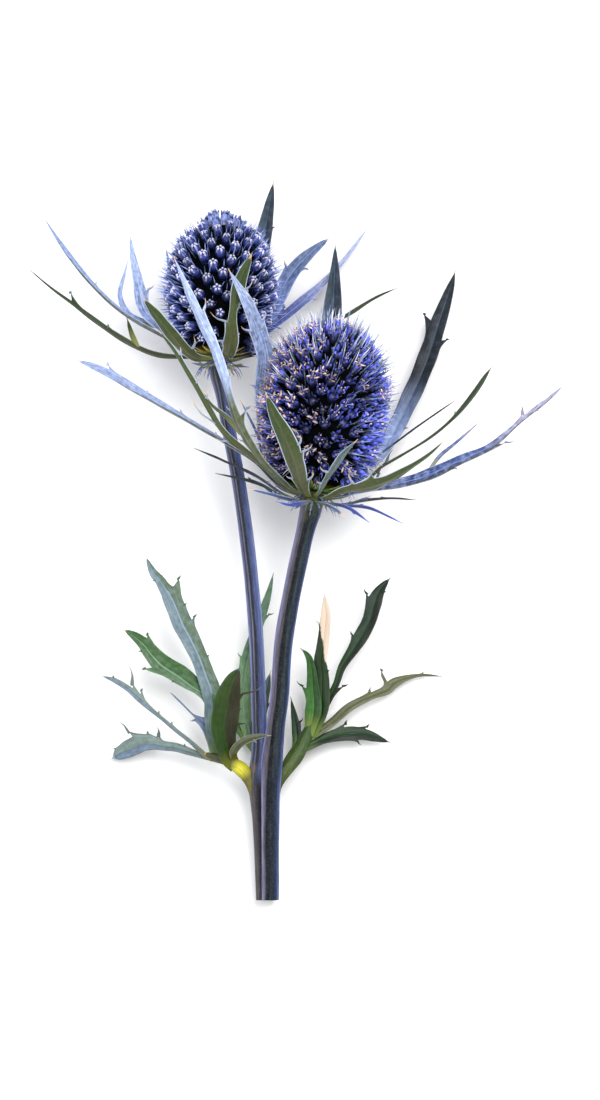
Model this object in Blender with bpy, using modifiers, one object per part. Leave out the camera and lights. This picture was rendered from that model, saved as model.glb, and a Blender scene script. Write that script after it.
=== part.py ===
"""Sea holly stem: a cut, forked stem with two flower heads, their spiny bracts and three leaves at the fork.

Blender 4.5, metres, +Z up. Every piece is drawn as it grew, upright and seen from the front, in
millimetres as (right, away, up) from the middle of the cut end. The whole plant is then laid on its back,
so that it rests on the cut end and on the bracts and leaves behind it.
"""

import math

import bmesh
import bpy
import numpy as np
from mathutils import Matrix, Vector

MM = 0.001

# The plant lies on its back with its heads raised a little, because bracts behind them hold them up.
LAID_BACK_DEG = -90.0
HEADS_RAISED_DEG = 9.57

# Stem: radii at the cut, at the swollen joint where it forks, and below each head, where it runs straight.
CUT_RADIUS = 2.6
JOINT_RADIUS = 3.2
FRONT_STALK_RADIUS = 2.05
FRONT_TOP_RADIUS = 2.6
BACK_STALK_RADIUS = 1.6
BACK_TOP_RADIUS = 2.2
STALK_STRAIGHT = 4.0
STEM_POINTS = 22

# Clearances between separate pieces. A bract's middle line keeps the larger one from its head.
SEAT_GAP = 0.35
HEAD_CLEARANCE = 1.15

# Leafy parts: thickness of the blade, and how many rows of faces run along it.
BLADE_THICKNESS = 0.7
SMALL_THICKNESS = 0.6
LONG_ROWS = 12
LOBE_ROWS = 10
SIDE_LOBE_ROWS = 5
SMALL_ROWS = 6
LEAF_STALK_THICKNESS = 1.2
TIP_HALF_WIDTH = 0.22
FRONT_BASE_HALF_WIDTH = 0.62
BACK_BASE_HALF_WIDTH = 0.48
SHORT_HALF_WIDTH = 0.55
FOLD_DEG = 14.0
FOLD_STARTS_BY = 0.35

# Whorls of bracts sit round the top of a stalk, the long ones above the short ones.
UPPER_WHORL_LIFT = -1.05
LOWER_WHORL_LIFT = -2.5

# Head outline: rows from top to bottom, faces round, and how full its shoulders are.
HEAD_ROWS = 16
HEAD_FACES_ROUND = 26

FRONT_HEAD_BASE = (10.2, 0.0, 90.0)
BACK_HEAD_BASE = (-10.6, 6.4, 120.2)
STEM_LINE = [(0, 0, 0), (0, 0, 14), (0.2, 0, 27), (1.9, -0.4, 38), (2.8, -0.6, 45.3), (3.7, -0.7, 57),
             (5.8, -0.6, 69), (8.3, -0.3, 80.6)]
BACK_STALK_LINE = [(-0.3, 0.2, 24), (-1.2, 1.2, 33), (-1.7, 1.9, 41), (-2.35, 2.7, 57), (-3.3, 3.4, 69),
                   (-4.6, 4.2, 80.6), (-6.3, 4.9, 92.4), (-8.6, 5.5, 104.3), (-9.9, 5.7, 112)]

GREEN = (0.16, 0.27, 0.12)
BLUE_GREEN = (0.27, 0.36, 0.38)
SLATE_BLUE = (0.22, 0.27, 0.42)
HEAD_BLUE = (0.12, 0.14, 0.42)


class Head:
    """An egg-shaped flower head on top of its stalk, and the whorls of bracts below it."""

    def __init__(self, name, base, lean_right, lean_away, radius, height, neck, low_fullness, top_fullness):
        self.name = name
        self.base = np.array(base, float)
        self.radius = radius
        self.height = height
        self.neck = neck
        self.low_fullness = low_fullness
        self.top_fullness = top_fullness
        self.turn = Matrix.Rotation(math.radians(lean_right), 3, "Y") @ Matrix.Rotation(
            -math.radians(lean_away), 3, "X"
        )
        self.axis = np.array(self.turn @ Vector((0, 0, 1)))

    def bulge(self, height):
        """The head's radius at this height above its base."""
        share = min(max(height / self.height, 0.0), 1.0)
        middle = 2 * math.sqrt(share * (1 - share))
        fullness = self.low_fullness if share < 0.5 else self.top_fullness
        return max(self.radius * middle**fullness, self.neck if share < 0.5 else 0.0)

    def outline(self):
        """The (radius, height) points of the head's outline, from its top to the rim of its flat base."""
        heights = self.height * (1 + np.cos(np.linspace(0, math.pi, HEAD_ROWS + 1))) / 2
        return np.array([(self.bulge(height), height) for height in heights])

    def whorl_seat(self, azimuth, lift, reach):
        """The point at this distance from the stalk's axis. Azimuth 0 is to the right and 90 away."""
        angle = math.radians(azimuth)
        out = self.turn @ Vector((math.cos(angle), math.sin(angle), 0))
        return self.base + np.array(out) * reach + self.axis * lift

    def kept_clear(self, line, clearance):
        """The line with every point that comes closer to the head than this moved straight off it."""
        corners = np.vstack([self.outline(), (0.0, 0.0)])
        starts, runs = corners[:-1], np.diff(corners, axis=0)
        normals = np.stack([-runs[:, 1], runs[:, 0]], axis=1) / np.linalg.norm(runs, axis=1)[:, None]
        moved = []
        for point in line:
            up = float((point - self.base) @ self.axis)
            out = point - self.base - self.axis * up
            reach = float(np.linalg.norm(out))
            place = np.array((reach, up))
            shares = ((place - starts) * runs).sum(axis=1) / (runs**2).sum(axis=1)
            nearest = starts + runs * np.clip(shares, 0, 1)[:, None]
            distances = np.linalg.norm(place - nearest, axis=1)
            closest = int(distances.argmin())
            inside = ((place - starts) * normals).sum(axis=1).max() < 0
            if inside or distances[closest] < clearance:
                off = normals[closest] if inside else (place - nearest[closest]) / distances[closest]
                new_reach, new_up = nearest[closest] + off * clearance
                point = self.base + out / max(reach, 1e-6) * new_reach + self.axis * new_up
            moved.append(point)
        return np.array(moved)

    def face_towards(self, point):
        """Where the upper face of a bract looks at this point: inwards and upwards."""
        up = float((point - self.base) @ self.axis)
        inwards = self.base + self.axis * up - point
        return inwards / max(np.linalg.norm(inwards), 1e-6) + self.axis


FRONT_HEAD = Head("front_flower_head", FRONT_HEAD_BASE, 7.6, 5.0, 13.6, 37.8, 3.0, 0.55, 0.85)
BACK_HEAD = Head("back_flower_head", BACK_HEAD_BASE, 1.5, 6.0, 10.9, 31.0, 2.4, 0.62, 1.15)


def material(name, colour, roughness=0.55, metallic=0.0):
    """A plain surface of this colour, shared by the pieces that have it."""
    made = bpy.data.materials.get(name)
    if made is None:
        made = bpy.data.materials.new(name)
        made.use_nodes = True
        shader = made.node_tree.nodes["Principled BSDF"]
        shader.inputs["Base Color"].default_value = (*colour, 1)
        shader.inputs["Roughness"].default_value = roughness
        shader.inputs["Metallic"].default_value = metallic
    return made


def smooth_line(points, count):
    """count points, evenly spaced on a smooth curve through the given ones (a Catmull-Rom spline)."""
    given = np.array(points, float)
    padded = np.vstack([2 * given[0] - given[1], given, 2 * given[-1] - given[-2]])
    fine = []
    for i in range(len(given) - 1):
        a, b, c, d = padded[i : i + 4]
        for t in np.linspace(0, 1, 24, endpoint=False):
            fine.append(0.5 * (2 * b + (c - a) * t + (2 * a - 5 * b + 4 * c - d) * t**2
                               + (3 * b - a - 3 * c + d) * t**3))
    fine = np.array([*fine, given[-1]])
    along = np.concatenate([[0], np.cumsum(np.linalg.norm(np.diff(fine, axis=0), axis=1))])
    wanted = np.linspace(0, along[-1], count)
    return np.stack([np.interp(wanted, along, fine[:, k]) for k in range(3)], axis=1)


def add_object(name, data, surface, collection):
    """A new object in the collection, with its one material."""
    made = bpy.data.objects.new(name, data)
    data.materials.append(surface)
    collection.objects.link(made)
    return made


def as_mesh(source):
    """The object as a mesh with its modifiers applied and any loose caps welded. The source is removed."""
    bpy.context.view_layer.update()
    graph = bpy.context.evaluated_depsgraph_get()
    mesh = bpy.data.meshes.new_from_object(source.evaluated_get(graph))
    welded = bmesh.new()
    welded.from_mesh(mesh)
    bmesh.ops.remove_doubles(welded, verts=welded.verts, dist=0.001 * MM)
    welded.to_mesh(mesh)
    welded.free()
    made = bpy.data.objects.new(source.name, mesh)
    made.matrix_world = source.matrix_world
    collection = source.users_collection[0]
    name = source.name
    bpy.data.objects.remove(source)
    made.name = name
    collection.objects.link(made)
    return made


def fused(pieces):
    """One body from several overlapping ones: the first piece, with the others joined to it."""
    body = pieces[0]
    for other in pieces[1:]:
        join = body.modifiers.new("join", "BOOLEAN")
        join.operation = "UNION"
        join.solver = "EXACT"
        join.use_self = True
        join.object = other
    body = as_mesh(body)
    for other in pieces[1:]:
        bpy.data.objects.remove(other)
    return body


def tube(name, line, radii, surface, collection):
    """A round stalk along the line. radii are (share of the length, radius) pairs."""
    points = smooth_line(line, STEM_POINTS)
    shares = [share for share, _ in radii]
    sizes = [size for _, size in radii]
    curve = bpy.data.curves.new(name, "CURVE")
    curve.dimensions = "3D"
    curve.bevel_depth = MM
    curve.bevel_resolution = 3
    curve.use_fill_caps = True
    spline = curve.splines.new("POLY")
    spline.points.add(len(points) - 1)
    for i, point in enumerate(points):
        spline.points[i].co = (*(point * MM), 1)
        spline.points[i].radius = float(np.interp(i / (len(points) - 1), shares, sizes))
    return add_object(name, curve, surface, collection)


def half_width_at(share, half_width, widest, at_base):
    """Half a blade's width here: it swells from its base to its widest and runs out to a tip."""
    if share < widest:
        return at_base + (half_width - at_base) * math.sin(math.pi / 2 * share / widest)
    narrowing = max(math.cos(math.pi / 2 * (share - widest) / (1 - widest)), 0.0)
    return max(half_width * narrowing**0.8, TIP_HALF_WIDTH)


def blade(name, line, half_width, towards, surface, collection, at_base, widest=0.45, twist=0.0,
          rows=LONG_ROWS, thickness=BLADE_THICKNESS, teeth=()):
    """A narrow leaf blade along the line, folded a little along its middle.

    towards gives the way that the upper face looks at a point, and twist turns it by that many degrees on
    the way to the tip. Each tooth is (share of the length, side, length) on an edge, and leans forwards.
    """
    shares = np.linspace(0, 1, rows + 1)
    for share, _, _ in teeth:
        nearest = int(np.abs(shares[1:-1] - share).argmin()) + 1
        shares[nearest] = share
    points = np.stack([np.interp(shares, np.linspace(0, 1, len(line)), line[:, k]) for k in range(3)], axis=1)
    grid = bmesh.new()
    bmesh.ops.create_grid(grid, x_segments=2, y_segments=rows, size=0.5)
    for vertex in grid.verts:
        row = round((vertex.co.y + 0.5) * rows)
        side = round(vertex.co.x * 2)
        share = shares[row]
        ahead = points[min(row + 1, rows)] - points[max(row - 1, 0)]
        ahead = ahead / np.linalg.norm(ahead)
        face = towards(points[row])
        face = face - ahead * (face @ ahead)
        face = face / np.linalg.norm(face)
        turned = Matrix.Rotation(math.radians(twist) * share, 3, Vector(ahead)) @ Vector(face)
        face = np.array(turned)
        across = np.cross(ahead, face)
        fold_angle = math.radians(FOLD_DEG) * min(share / FOLD_STARTS_BY, 1.0)
        reach = half_width_at(share, half_width, widest, at_base)
        place = points[row] + across * side * reach * math.cos(fold_angle)
        place = place + face * abs(side) * reach * math.sin(fold_angle)
        for tooth_share, tooth_side, length in teeth:
            if side == tooth_side and abs(share - tooth_share) < 1e-6:
                place = place + across * side * length * 0.8 + ahead * length * 0.6
        vertex.co = Vector(place * MM)
    mesh = bpy.data.meshes.new(name)
    grid.to_mesh(mesh)
    grid.free()
    made = add_object(name, mesh, surface, collection)
    shell = made.modifiers.new("thickness", "SOLIDIFY")
    shell.thickness = thickness * MM
    shell.offset = 0
    return made


def bract(head, name, azimuth, lift, points, half_width, surface, collection, side_lobes=(), **shape):
    """A bract of the head, from its seat in the whorl through the given points to its tip."""
    in_front = head is FRONT_HEAD
    stalk_top = FRONT_TOP_RADIUS if in_front else BACK_TOP_RADIUS
    at_base = min(FRONT_BASE_HALF_WIDTH if in_front else BACK_BASE_HALF_WIDTH, half_width)
    seat = head.whorl_seat(azimuth, lift, stalk_top + SEAT_GAP)
    clearance = HEAD_CLEARANCE + half_width * math.sin(math.radians(FOLD_DEG))
    line = smooth_line(head.kept_clear(smooth_line([seat, *points], 60), clearance), 60)
    line[0] = seat
    made = blade(name, line, half_width, head.face_towards, surface, collection, at_base, **shape)
    lobes = []
    for lobe_points, lobe_half_width in side_lobes:
        lobe_line = smooth_line(lobe_points, 20)
        lobes.append(blade(name + "_lobe", lobe_line, lobe_half_width, head.face_towards, surface,
                           collection, lobe_half_width * 0.8, rows=SIDE_LOBE_ROWS, widest=0.3))
    return fused([as_mesh(piece) for piece in (made, *lobes)]) if lobes else made


# The long bracts of each head: azimuth of the seat, points on the way to the tip, half width, further shape.
FRONT_LONG_BRACTS = {
    "left_long": (
        171,
        [(1.8, -1, 93.3), (-5.4, -1.6, 98.4), (-15.2, -2, 104.2), (-27.3, -2.5, 111.3), (-37.8, -3, 117),
         (-42.2, -3.5, 118.8)],
        1.3,
        {"widest": 0.75, "twist": 50, "teeth": [(0.86, 1, 1.2)]},
    ),
    "left_olive": (
        198,
        [(4, -3, 92.4), (-4.6, -4.5, 98.4), (-9.5, -6, 102.7), (-13.9, -7.5, 110), (-17.8, -9, 116),
         (-20.7, -10.5, 120.6), (-24.2, -12, 125.6)],
        1.0,
        {"widest": 0.45, "twist": 20},
    ),
    "left_sweeping": (
        226,
        [(4.2, -5, 92), (-0.1, -6.5, 95.2), (-3.9, -8, 100.5), (-6.9, -8.8, 105), (-8.9, -9.2, 112.2),
         (-11.6, -9.2, 121), (-16.5, -8.6, 131.1), (-20.5, -7.5, 141.5)],
        1.5,
        {"widest": 0.6, "twist": 10},
    ),
    "front_broad": (
        254,
        [(7.6, -9, 91.6), (6.6, -15, 95.5), (4.6, -20.5, 101.5), (1.6, -24.5, 107), (-0.4, -27, 111.5)],
        1.9,
        {"widest": 0.5},
    ),
    "front_short": (
        281,
        [(12.6, -8, 91.2), (14.8, -14, 94), (17, -18, 97.8), (19.4, -21, 101.2)],
        0.8,
        {},
    ),
    "right_olive": (
        309,
        [(16.5, -7, 90), (23.5, -11, 91.2), (29, -14.5, 93.6), (35.2, -18, 97.6), (39.3, -20.5, 101.4)],
        1.6,
        {"widest": 0.4},
    ),
    "right_great": (
        337,
        [(20, -2.5, 90.2), (29.3, -4.5, 92.2), (40.3, -7, 95.2), (48.5, -9, 99.4), (56, -10, 105.6),
         (62.4, -11, 110.5), (65.5, -11.5, 113.5)],
        1.6,
        {
            "widest": 0.5,
            "twist": -25,
            "teeth": [(0.72, -1, 1.4)],
            "side_lobes": [
                ([(33.5, -5, 93.2), (37.5, -4, 96.5), (43.1, -3, 101.4), (47, -2, 105.6)], 0.6),
            ],
        },
    ),
    "right_slim_olive": (
        4,
        [(19, 1.2, 92), (25.7, 2.2, 95.6), (31, 3, 98.4), (38.5, 4, 104), (44.5, 5, 111), (49.7, 6, 117.7)],
        1.0,
        {"widest": 0.8},
    ),
    "right_thread": (
        31,
        [(18.5, 5, 92.6), (23, 6.8, 96.6), (27.5, 7, 100), (34, 8, 104.8), (41.1, 9.5, 109.8)],
        0.5,
        {},
    ),
    "right_tall": (
        59,
        [(18, 9, 92.8), (24, 12, 97.5), (28.2, 13, 103), (33.4, 15.5, 113.5), (37.6, 19.5, 126),
         (41.5, 25.63, 138.5)],
        2.1,
        {"widest": 0.6, "twist": 30, "teeth": [(0.78, 1, 1.6), (0.7, -1, 1.2)]},
    ),
    "rear_tall": (
        87,
        [(10.8, 11, 92.4), (11.6, 16, 97), (12.8, 18.8, 105), (13.6, 19.4, 116), (14.3, 19.2, 128.5),
         (14.9, 19.4, 137), (15, 20, 143.7)],
        2.0,
        {"widest": 0.75},
    ),
    "rear_left": (
        115,
        [(4.5, 9, 92.6), (1.2, 10.6, 97), (-0.6, 10.2, 103), (-0.4, 8.4, 110), (0.3, 5.2, 116),
         (-1.8, 0.4, 124.6), (-3.8, -6, 130.5), (-5.8, -9, 133.8), (-8.4, -10.6, 138.6)],
        1.3,
        {"widest": 0.7, "twist": 0},
    ),
    "left_thread": (
        143,
        [(3.5, 3.2, 92), (0.2, 5, 96.5), (-2.4, 5, 103), (-5.9, 3.4, 110)],
        0.5,
        {},
    ),
}
BACK_LONG_BRACTS = {
    "left_pale": (
        194,
        [(-18, 6.8, 121.6), (-24.9, 8, 124.9), (-32, 10, 129.2), (-38.3, 14.5, 135.5), (-45.3, 22, 143.4),
         (-48.9, 27.6, 149.7)],
        0.9,
        {"widest": 0.6, "twist": 30},
    ),
    "left_olive": (
        220,
        [(-18.2, 3.6, 119.4), (-24.9, 3, 119.9), (-29.5, 2.6, 121.5), (-36.3, 2.6, 125.7),
         (-45.3, 3.4, 133.2), (-52.1, 4.5, 138.6)],
        0.9,
        {
            "widest": 0.4,
            "side_lobes": [
                ([(-28.6, 2.7, 121.2), (-29.8, 1.6, 123.4), (-31.2, 0.5, 128.7)], 0.6),
            ],
        },
    ),
    "left_forked": (
        168,
        [(-17.5, 10, 121.8), (-22, 12, 125.2), (-25.5, 14, 129.2), (-28.4, 16, 137), (-30.1, 18, 146.5)],
        1.5,
        {
            "widest": 0.6,
            "side_lobes": [
                ([(-24, 13.2, 127.2), (-29, 14.6, 129.4), (-32.4, 15.6, 134.5), (-31.3, 16.6, 141.5)], 1.0),
            ],
        },
    ),
    "front_left": (
        250,
        [(-15.5, 0.5, 119.2), (-19.5, -4, 122.4), (-23.6, -8, 127.8), (-27.4, -11, 132.6)],
        1.6,
        {"widest": 0.5},
    ),
    "front_right": (
        290,
        [(-8.6, -1.2, 119.8), (-7.4, -4.2, 123.8), (-7.3, -6, 129.4), (-5.6, -7.4, 136.6),
         (-3.2, -9.4, 141.9)],
        1.5,
        {"widest": 0.55},
    ),
    "right_low": (
        344,
        [(-6.2, 6, 119.2), (-1.5, 9.4, 120.2), (5, 13.4, 122.2), (12, 15.4, 125.6), (18.7, 17.6, 129.2),
         (28.8, 20.5, 134.6)],
        0.8,
        {"widest": 0.4},
    ),
    "right_long": (
        16,
        [(-4.5, 9.4, 121.2), (-0.4, 12, 125), (5.7, 17, 129.6), (12.3, 22.6, 136), (16.8, 24, 139.6),
         (22, 26, 147.2)],
        1.3,
        {"widest": 0.45, "twist": 20},
    ),
    "right_broad": (
        48,
        [(-5.5, 12.6, 121.6), (-1.4, 14.4, 127), (1.2, 14.6, 133.3), (4.2, 14.8, 137), (8.3, 15, 141),
         (14.2, 16, 145.9)],
        1.6,
        {"widest": 0.5, "twist": 20},
    ),
    "rear_tall": (
        80,
        [(-7.5, 16, 122.4), (-4, 19.6, 129.6), (-2, 20.6, 139), (0, 21.4, 150), (1.3, 22, 157.4)],
        1.7,
        {"widest": 0.7},
    ),
    "rear_middle": (
        112,
        [(-12.4, 16.6, 122.6), (-13.2, 20, 130), (-13.4, 21.6, 140), (-13, 22.6, 147)],
        1.3,
        {"widest": 0.5},
    ),
    "rear_left": (
        141,
        [(-17, 15, 122.2), (-19.6, 18.4, 129), (-21, 20.6, 137), (-22.4, 22.6, 144)],
        1.2,
        {"widest": 0.5},
    ),
}
# The short bracts of each head, in the lower whorl: azimuth of the seat, then points to the tip.
FRONT_SHORT_BRACTS = [
    (183, [(3, -0.8, 89.6), (-2, -0.6, 93), (-9.5, -0.6, 96.6), (-16, -0.4, 99.4)]),
    (208, [(3.5, -3.4, 88.5), (-0.8, -4.6, 91), (-5.8, -5.2, 92.6), (-11.3, -5.8, 93.8)]),
    (232, [(5.6, -5.6, 87.8), (0.5, -8, 89.2), (-4, -9, 90.3)]),
    (260, [(8.6, -6, 87.2), (5, -8.4, 86.8), (2, -9.5, 87.6)]),
    (290, [(12.6, -6, 87), (15, -8, 85.8), (17, -9, 84.3)]),
    (316, [(15, -4.8, 87.0), (18, -6.4, 86), (22.5, -8.4, 83)]),
    (341, [(17, -2.2, 86.8), (22.9, -3.4, 86), (29.9, -4.6, 82.8)]),
    (7, [(16.6, 0.6, 86.9), (21, 0.8, 87.8), (27, 1, 88.4), (33, 1, 88)]),
    (35, [(15.2, 4.4, 86.9), (19, 7.2, 87.4), (23, 9.6, 89)]),
    (68, [(12.6, 6.6, 88), (14, 10.6, 88.6), (15.4, 13.6, 90)]),
    (105, [(9, 7, 88.2), (8, 11, 88.8), (7, 14, 90.4)]),
    (145, [(5, 4.4, 88.4), (1.6, 7, 89.2), (-1, 9, 91)]),
]
BACK_SHORT_BRACTS = [
    (212, [(-14.6, 3.6, 117.8), (-16.6, 2.2, 118.2)]),
    (245, [(-12.4, 2, 117.4), (-13.6, 0, 116.4)]),
    (275, [(-10.4, 1.6, 117), (-9.6, -0.2, 115.2)]),
    (305, [(-8.4, 2.6, 117.2), (-6.8, 1, 115.6)]),
    (10, [(-6.6, 6.6, 117.6), (-4, 7, 117.4)]),
    (90, [(-10.4, 10.4, 118), (-10.2, 13, 118.6)]),
]

# Each leaf: its stalk, then its lobes as (points, half width, share where it is widest, teeth).
LEAVES = {
    "left_leaf": {
        "faces": (0.25, -1, 0.35),
        "stalk": ([(-3.15, 0.4, 28.3), (-7.5, 0.1, 29.3), (-12.5, 0.2, 31.4), (-14.6, 0.8, 34)], 1.4),
        "lobes": [
            ([(-12, 0.6, 32), (-13, 1, 40), (-14.8, 1.8, 49.5), (-18.9, 3, 60.5), (-22.9, 4, 68.6),
              (-26.9, 5, 75.5)],
             2.5, 0.45, [(0.72, 1, 2.0), (0.56, 1, 1.2)]),
            ([(-12.4, 0.8, 32), (-14.6, 1.4, 41.6), (-20, 2.4, 49), (-26.6, 3.4, 55.2), (-32, 4, 59.6)],
             2.2, 0.6, [(0.62, -1, 2.2), (0.84, 1, 1.2)]),
            ([(-12, 0.6, 31.6), (-18, 1.6, 35.6), (-25, 2.6, 41.2), (-30.5, 3.4, 45.4), (-37.2, 4, 49.6)],
             0.75, 0.7, [(0.8, 1, 1.6)]),
            ([(-10, 0.4, 30.4), (-16, 2, 31.6), (-23.5, 4, 32.6), (-29.6, 5.2, 33.2), (-34.4, 6.6, 31)],
             2.0, 0.75, [(0.62, 1, 2.2)]),
            ([(-7, 0, 29.6), (-9.4, -4, 33), (-9.3, -7, 39.6), (-8.6, -8.6, 46), (-5.9, -9.4, 51.6)],
             2.3, 0.55, [(0.8, 1, 1.2)]),
            ([(-6, -0.2, 29.4), (-6.4, -3.6, 32.2), (-3.8, -5.6, 35.4), (0.2, -7.4, 37.2),
              (4.2, -8.6, 36.6)],
             1.3, 0.45, []),
        ],
    },
    "right_leaf": {
        "faces": (-0.2, -1, 0.35),
        "stalk": ([(4.55, 1.15, 28.5), (6.7, 2.2, 32), (9.4, 3.4, 37), (11.4, 4, 42)], 1.3),
        "lobes": [
            ([(10, 3.6, 38), (12.6, 4.4, 45), (15.6, 5, 50.2), (18.9, 6, 56.1), (23.4, 7.4, 63.4),
              (27.2, 8.6, 70.9)],
             2.0, 0.65, [(0.52, 1, 1.2), (0.78, 1, 1.6)]),
            ([(9.6, 3.4, 37.4), (11.2, 3.6, 44), (11.9, 3.2, 50.2), (12.4, 2.8, 57.2), (12.8, 2.2, 67.4)],
             1.3, 0.35, [(0.62, 1, 0.9)]),
            ([(8.8, 3, 36), (9.6, 2.8, 42), (9.4, 2.4, 48.4), (7.3, 1.8, 55.3)],
             1.1, 0.4, []),
            ([(8.6, 3, 36), (14, 5, 40.6), (20.5, 6.6, 44.4), (28, 8.4, 47.2), (33, 9.4, 48.6),
              (38.8, 9.8, 49)],
             1.3, 0.5, [(0.62, 1, 2.6)]),
            ([(6.8, 2.4, 32.6), (13, 4.4, 35.4), (20, 5.8, 36.4), (27.5, 6.8, 34.4)],
             1.6, 0.55, [(0.5, 1, 1.6)]),
            ([(6, 2, 31.4), (6.6, 3.4, 36.4), (5.2, 4, 44.7)],
             0.9, 0.4, []),
        ],
    },
    "rear_leaf": {
        "faces": (0, -1, 0.3),
        "stalk": ([(-1.0, 3.6, 28.6), (-2.4, 5.2, 31.4), (-3.6, 6, 35.4), (-4.4, 6.4, 39)], 1.3),
        "lobes": [
            ([(-3, 5.6, 33), (-4.9, 6.6, 43.4), (-3.6, 7.4, 52.8), (-1.2, 8.2, 61.6), (1.3, 9, 71.7)],
             1.7, 0.45, [(0.72, -1, 1.4)]),
            ([(-2.6, 5.4, 32), (-1.6, 6.2, 40), (0.6, 7, 49.4)],
             1.0, 0.5, []),
            ([(-3, 5.6, 33), (-6.6, 6.6, 38.4), (-8.6, 7.4, 45)],
             1.0, 0.5, []),
        ],
    },
}


def build_stem(collection):
    """The cut stem with the front stalk, joined to the back stalk at the swollen joint."""
    surface = material("stem", SLATE_BLUE, 0.45)
    front_end, back_end = (
        [head.base - head.axis * STALK_STRAIGHT, head.base - head.axis * SEAT_GAP]
        for head in (FRONT_HEAD, BACK_HEAD)
    )
    stem = tube("forked_stem", [*STEM_LINE, *front_end],
                [(0, CUT_RADIUS), (0.26, CUT_RADIUS), (0.32, JOINT_RADIUS), (0.4, FRONT_STALK_RADIUS),
                 (0.85, FRONT_STALK_RADIUS), (0.96, FRONT_TOP_RADIUS), (1, FRONT_TOP_RADIUS)],
                surface, collection)
    stalk = tube("back_stalk", [*BACK_STALK_LINE, *back_end],
                 [(0, BACK_STALK_RADIUS), (0.85, BACK_STALK_RADIUS), (0.96, BACK_TOP_RADIUS),
                  (1, BACK_TOP_RADIUS)], surface, collection)
    return [fused([as_mesh(stem), as_mesh(stalk)])]


def build_head(head, collection):
    """The head as an egg-shaped turned solid, leaning as its stalk does."""
    profile = [*head.outline(), (0.0, 0.0)]
    mesh = bpy.data.meshes.new(head.name)
    edges = [(i, i + 1) for i in range(len(profile) - 1)]
    mesh.from_pydata([(radius * MM, 0, height * MM) for radius, height in profile], edges, [])
    made = add_object(head.name, mesh, material("florets", HEAD_BLUE, 0.7), collection)
    spin = made.modifiers.new("turned", "SCREW")
    spin.steps = HEAD_FACES_ROUND
    spin.render_steps = HEAD_FACES_ROUND
    spin.use_merge_vertices = True
    spin.merge_threshold = 0.01 * MM
    made.location = Vector(head.base * MM)
    made.rotation_euler = head.turn.to_euler()
    return made


def build_bracts(head, side, long_bracts, short_bracts, collection):
    """The long and the short bracts of one head."""
    surface = material("bract", BLUE_GREEN, 0.5)
    made = []
    for name, (azimuth, points, half_width, shape) in long_bracts.items():
        made.append(bract(head, f"{side}_bract_{name}", azimuth, UPPER_WHORL_LIFT, points, half_width, surface,
                          collection, **shape))
    for number, (azimuth, points) in enumerate(short_bracts, 1):
        made.append(bract(head, f"{side}_short_bract_{number:02d}", azimuth, LOWER_WHORL_LIFT, points,
                          SHORT_HALF_WIDTH, surface, collection, rows=SMALL_ROWS, thickness=SMALL_THICKNESS))
    return made


def build_leaf(name, plan, collection):
    """A leaf cut into lobes, on a short stalk that clasps the stem's joint."""
    surface = material("leaf", GREEN, 0.6)
    faces = np.array(plan["faces"], float)
    line, half_width = plan["stalk"]
    pieces = [blade(name, smooth_line(line, 30), half_width, lambda _: faces, surface, collection,
                    half_width * 0.9, rows=6, widest=0.3, thickness=LEAF_STALK_THICKNESS)]
    for points, lobe_half_width, widest, teeth in plan["lobes"]:
        pieces.append(blade(f"{name}_lobe", smooth_line(points, 60), lobe_half_width, lambda _: faces,
                            surface, collection, lobe_half_width * 0.5, rows=LOBE_ROWS, widest=widest,
                            teeth=teeth))
    return fused([as_mesh(piece) for piece in pieces])


def lay_down(pieces, collection):
    """Lays the plant on its back, its lowest point on the ground and its middle over the origin."""
    ground = bpy.data.objects.new("laid_plant", None)
    collection.objects.link(ground)
    for piece in pieces:
        piece.parent = ground
    ground.rotation_euler = (math.radians(LAID_BACK_DEG + HEADS_RAISED_DEG), 0, 0)
    bpy.context.view_layer.update()
    graph = bpy.context.evaluated_depsgraph_get()
    corners = []
    for piece in pieces:
        evaluated = piece.evaluated_get(graph)
        mesh = evaluated.to_mesh()
        corners += [evaluated.matrix_world @ vertex.co for vertex in mesh.vertices]
        evaluated.to_mesh_clear()
    corners = np.array(corners)
    low, high = corners.min(axis=0), corners.max(axis=0)
    ground.location = (-(low[0] + high[0]) / 2, -(low[1] + high[1]) / 2, -low[2])


def main():
    for leftover in list(bpy.data.objects):
        bpy.data.objects.remove(leftover)
    collection = bpy.data.collections.new("sea_holly_stem")
    bpy.context.scene.collection.children.link(collection)
    pieces = build_stem(collection)
    pieces += [build_head(head, collection) for head in (FRONT_HEAD, BACK_HEAD)]
    pieces += build_bracts(FRONT_HEAD, "front", FRONT_LONG_BRACTS, FRONT_SHORT_BRACTS, collection)
    pieces += build_bracts(BACK_HEAD, "back", BACK_LONG_BRACTS, BACK_SHORT_BRACTS, collection)
    pieces += [build_leaf(name, plan, collection) for name, plan in LEAVES.items()]
    lay_down(pieces, collection)


main()
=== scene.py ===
"""The looks of a cut sea holly stem that lies on its back: florets, bracts, leaves and ribbed stalks.

Each piece is drawn as it grew, upright and seen from the front, in millimetres as (right, away, up) from
the middle of the cut end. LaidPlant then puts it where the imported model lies.
"""

import logging
import math
from collections.abc import Callable, Sequence
from dataclasses import dataclass, field, replace
from enum import Enum

import bpy
import numpy as np
from mathutils import Matrix, Vector


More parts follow.
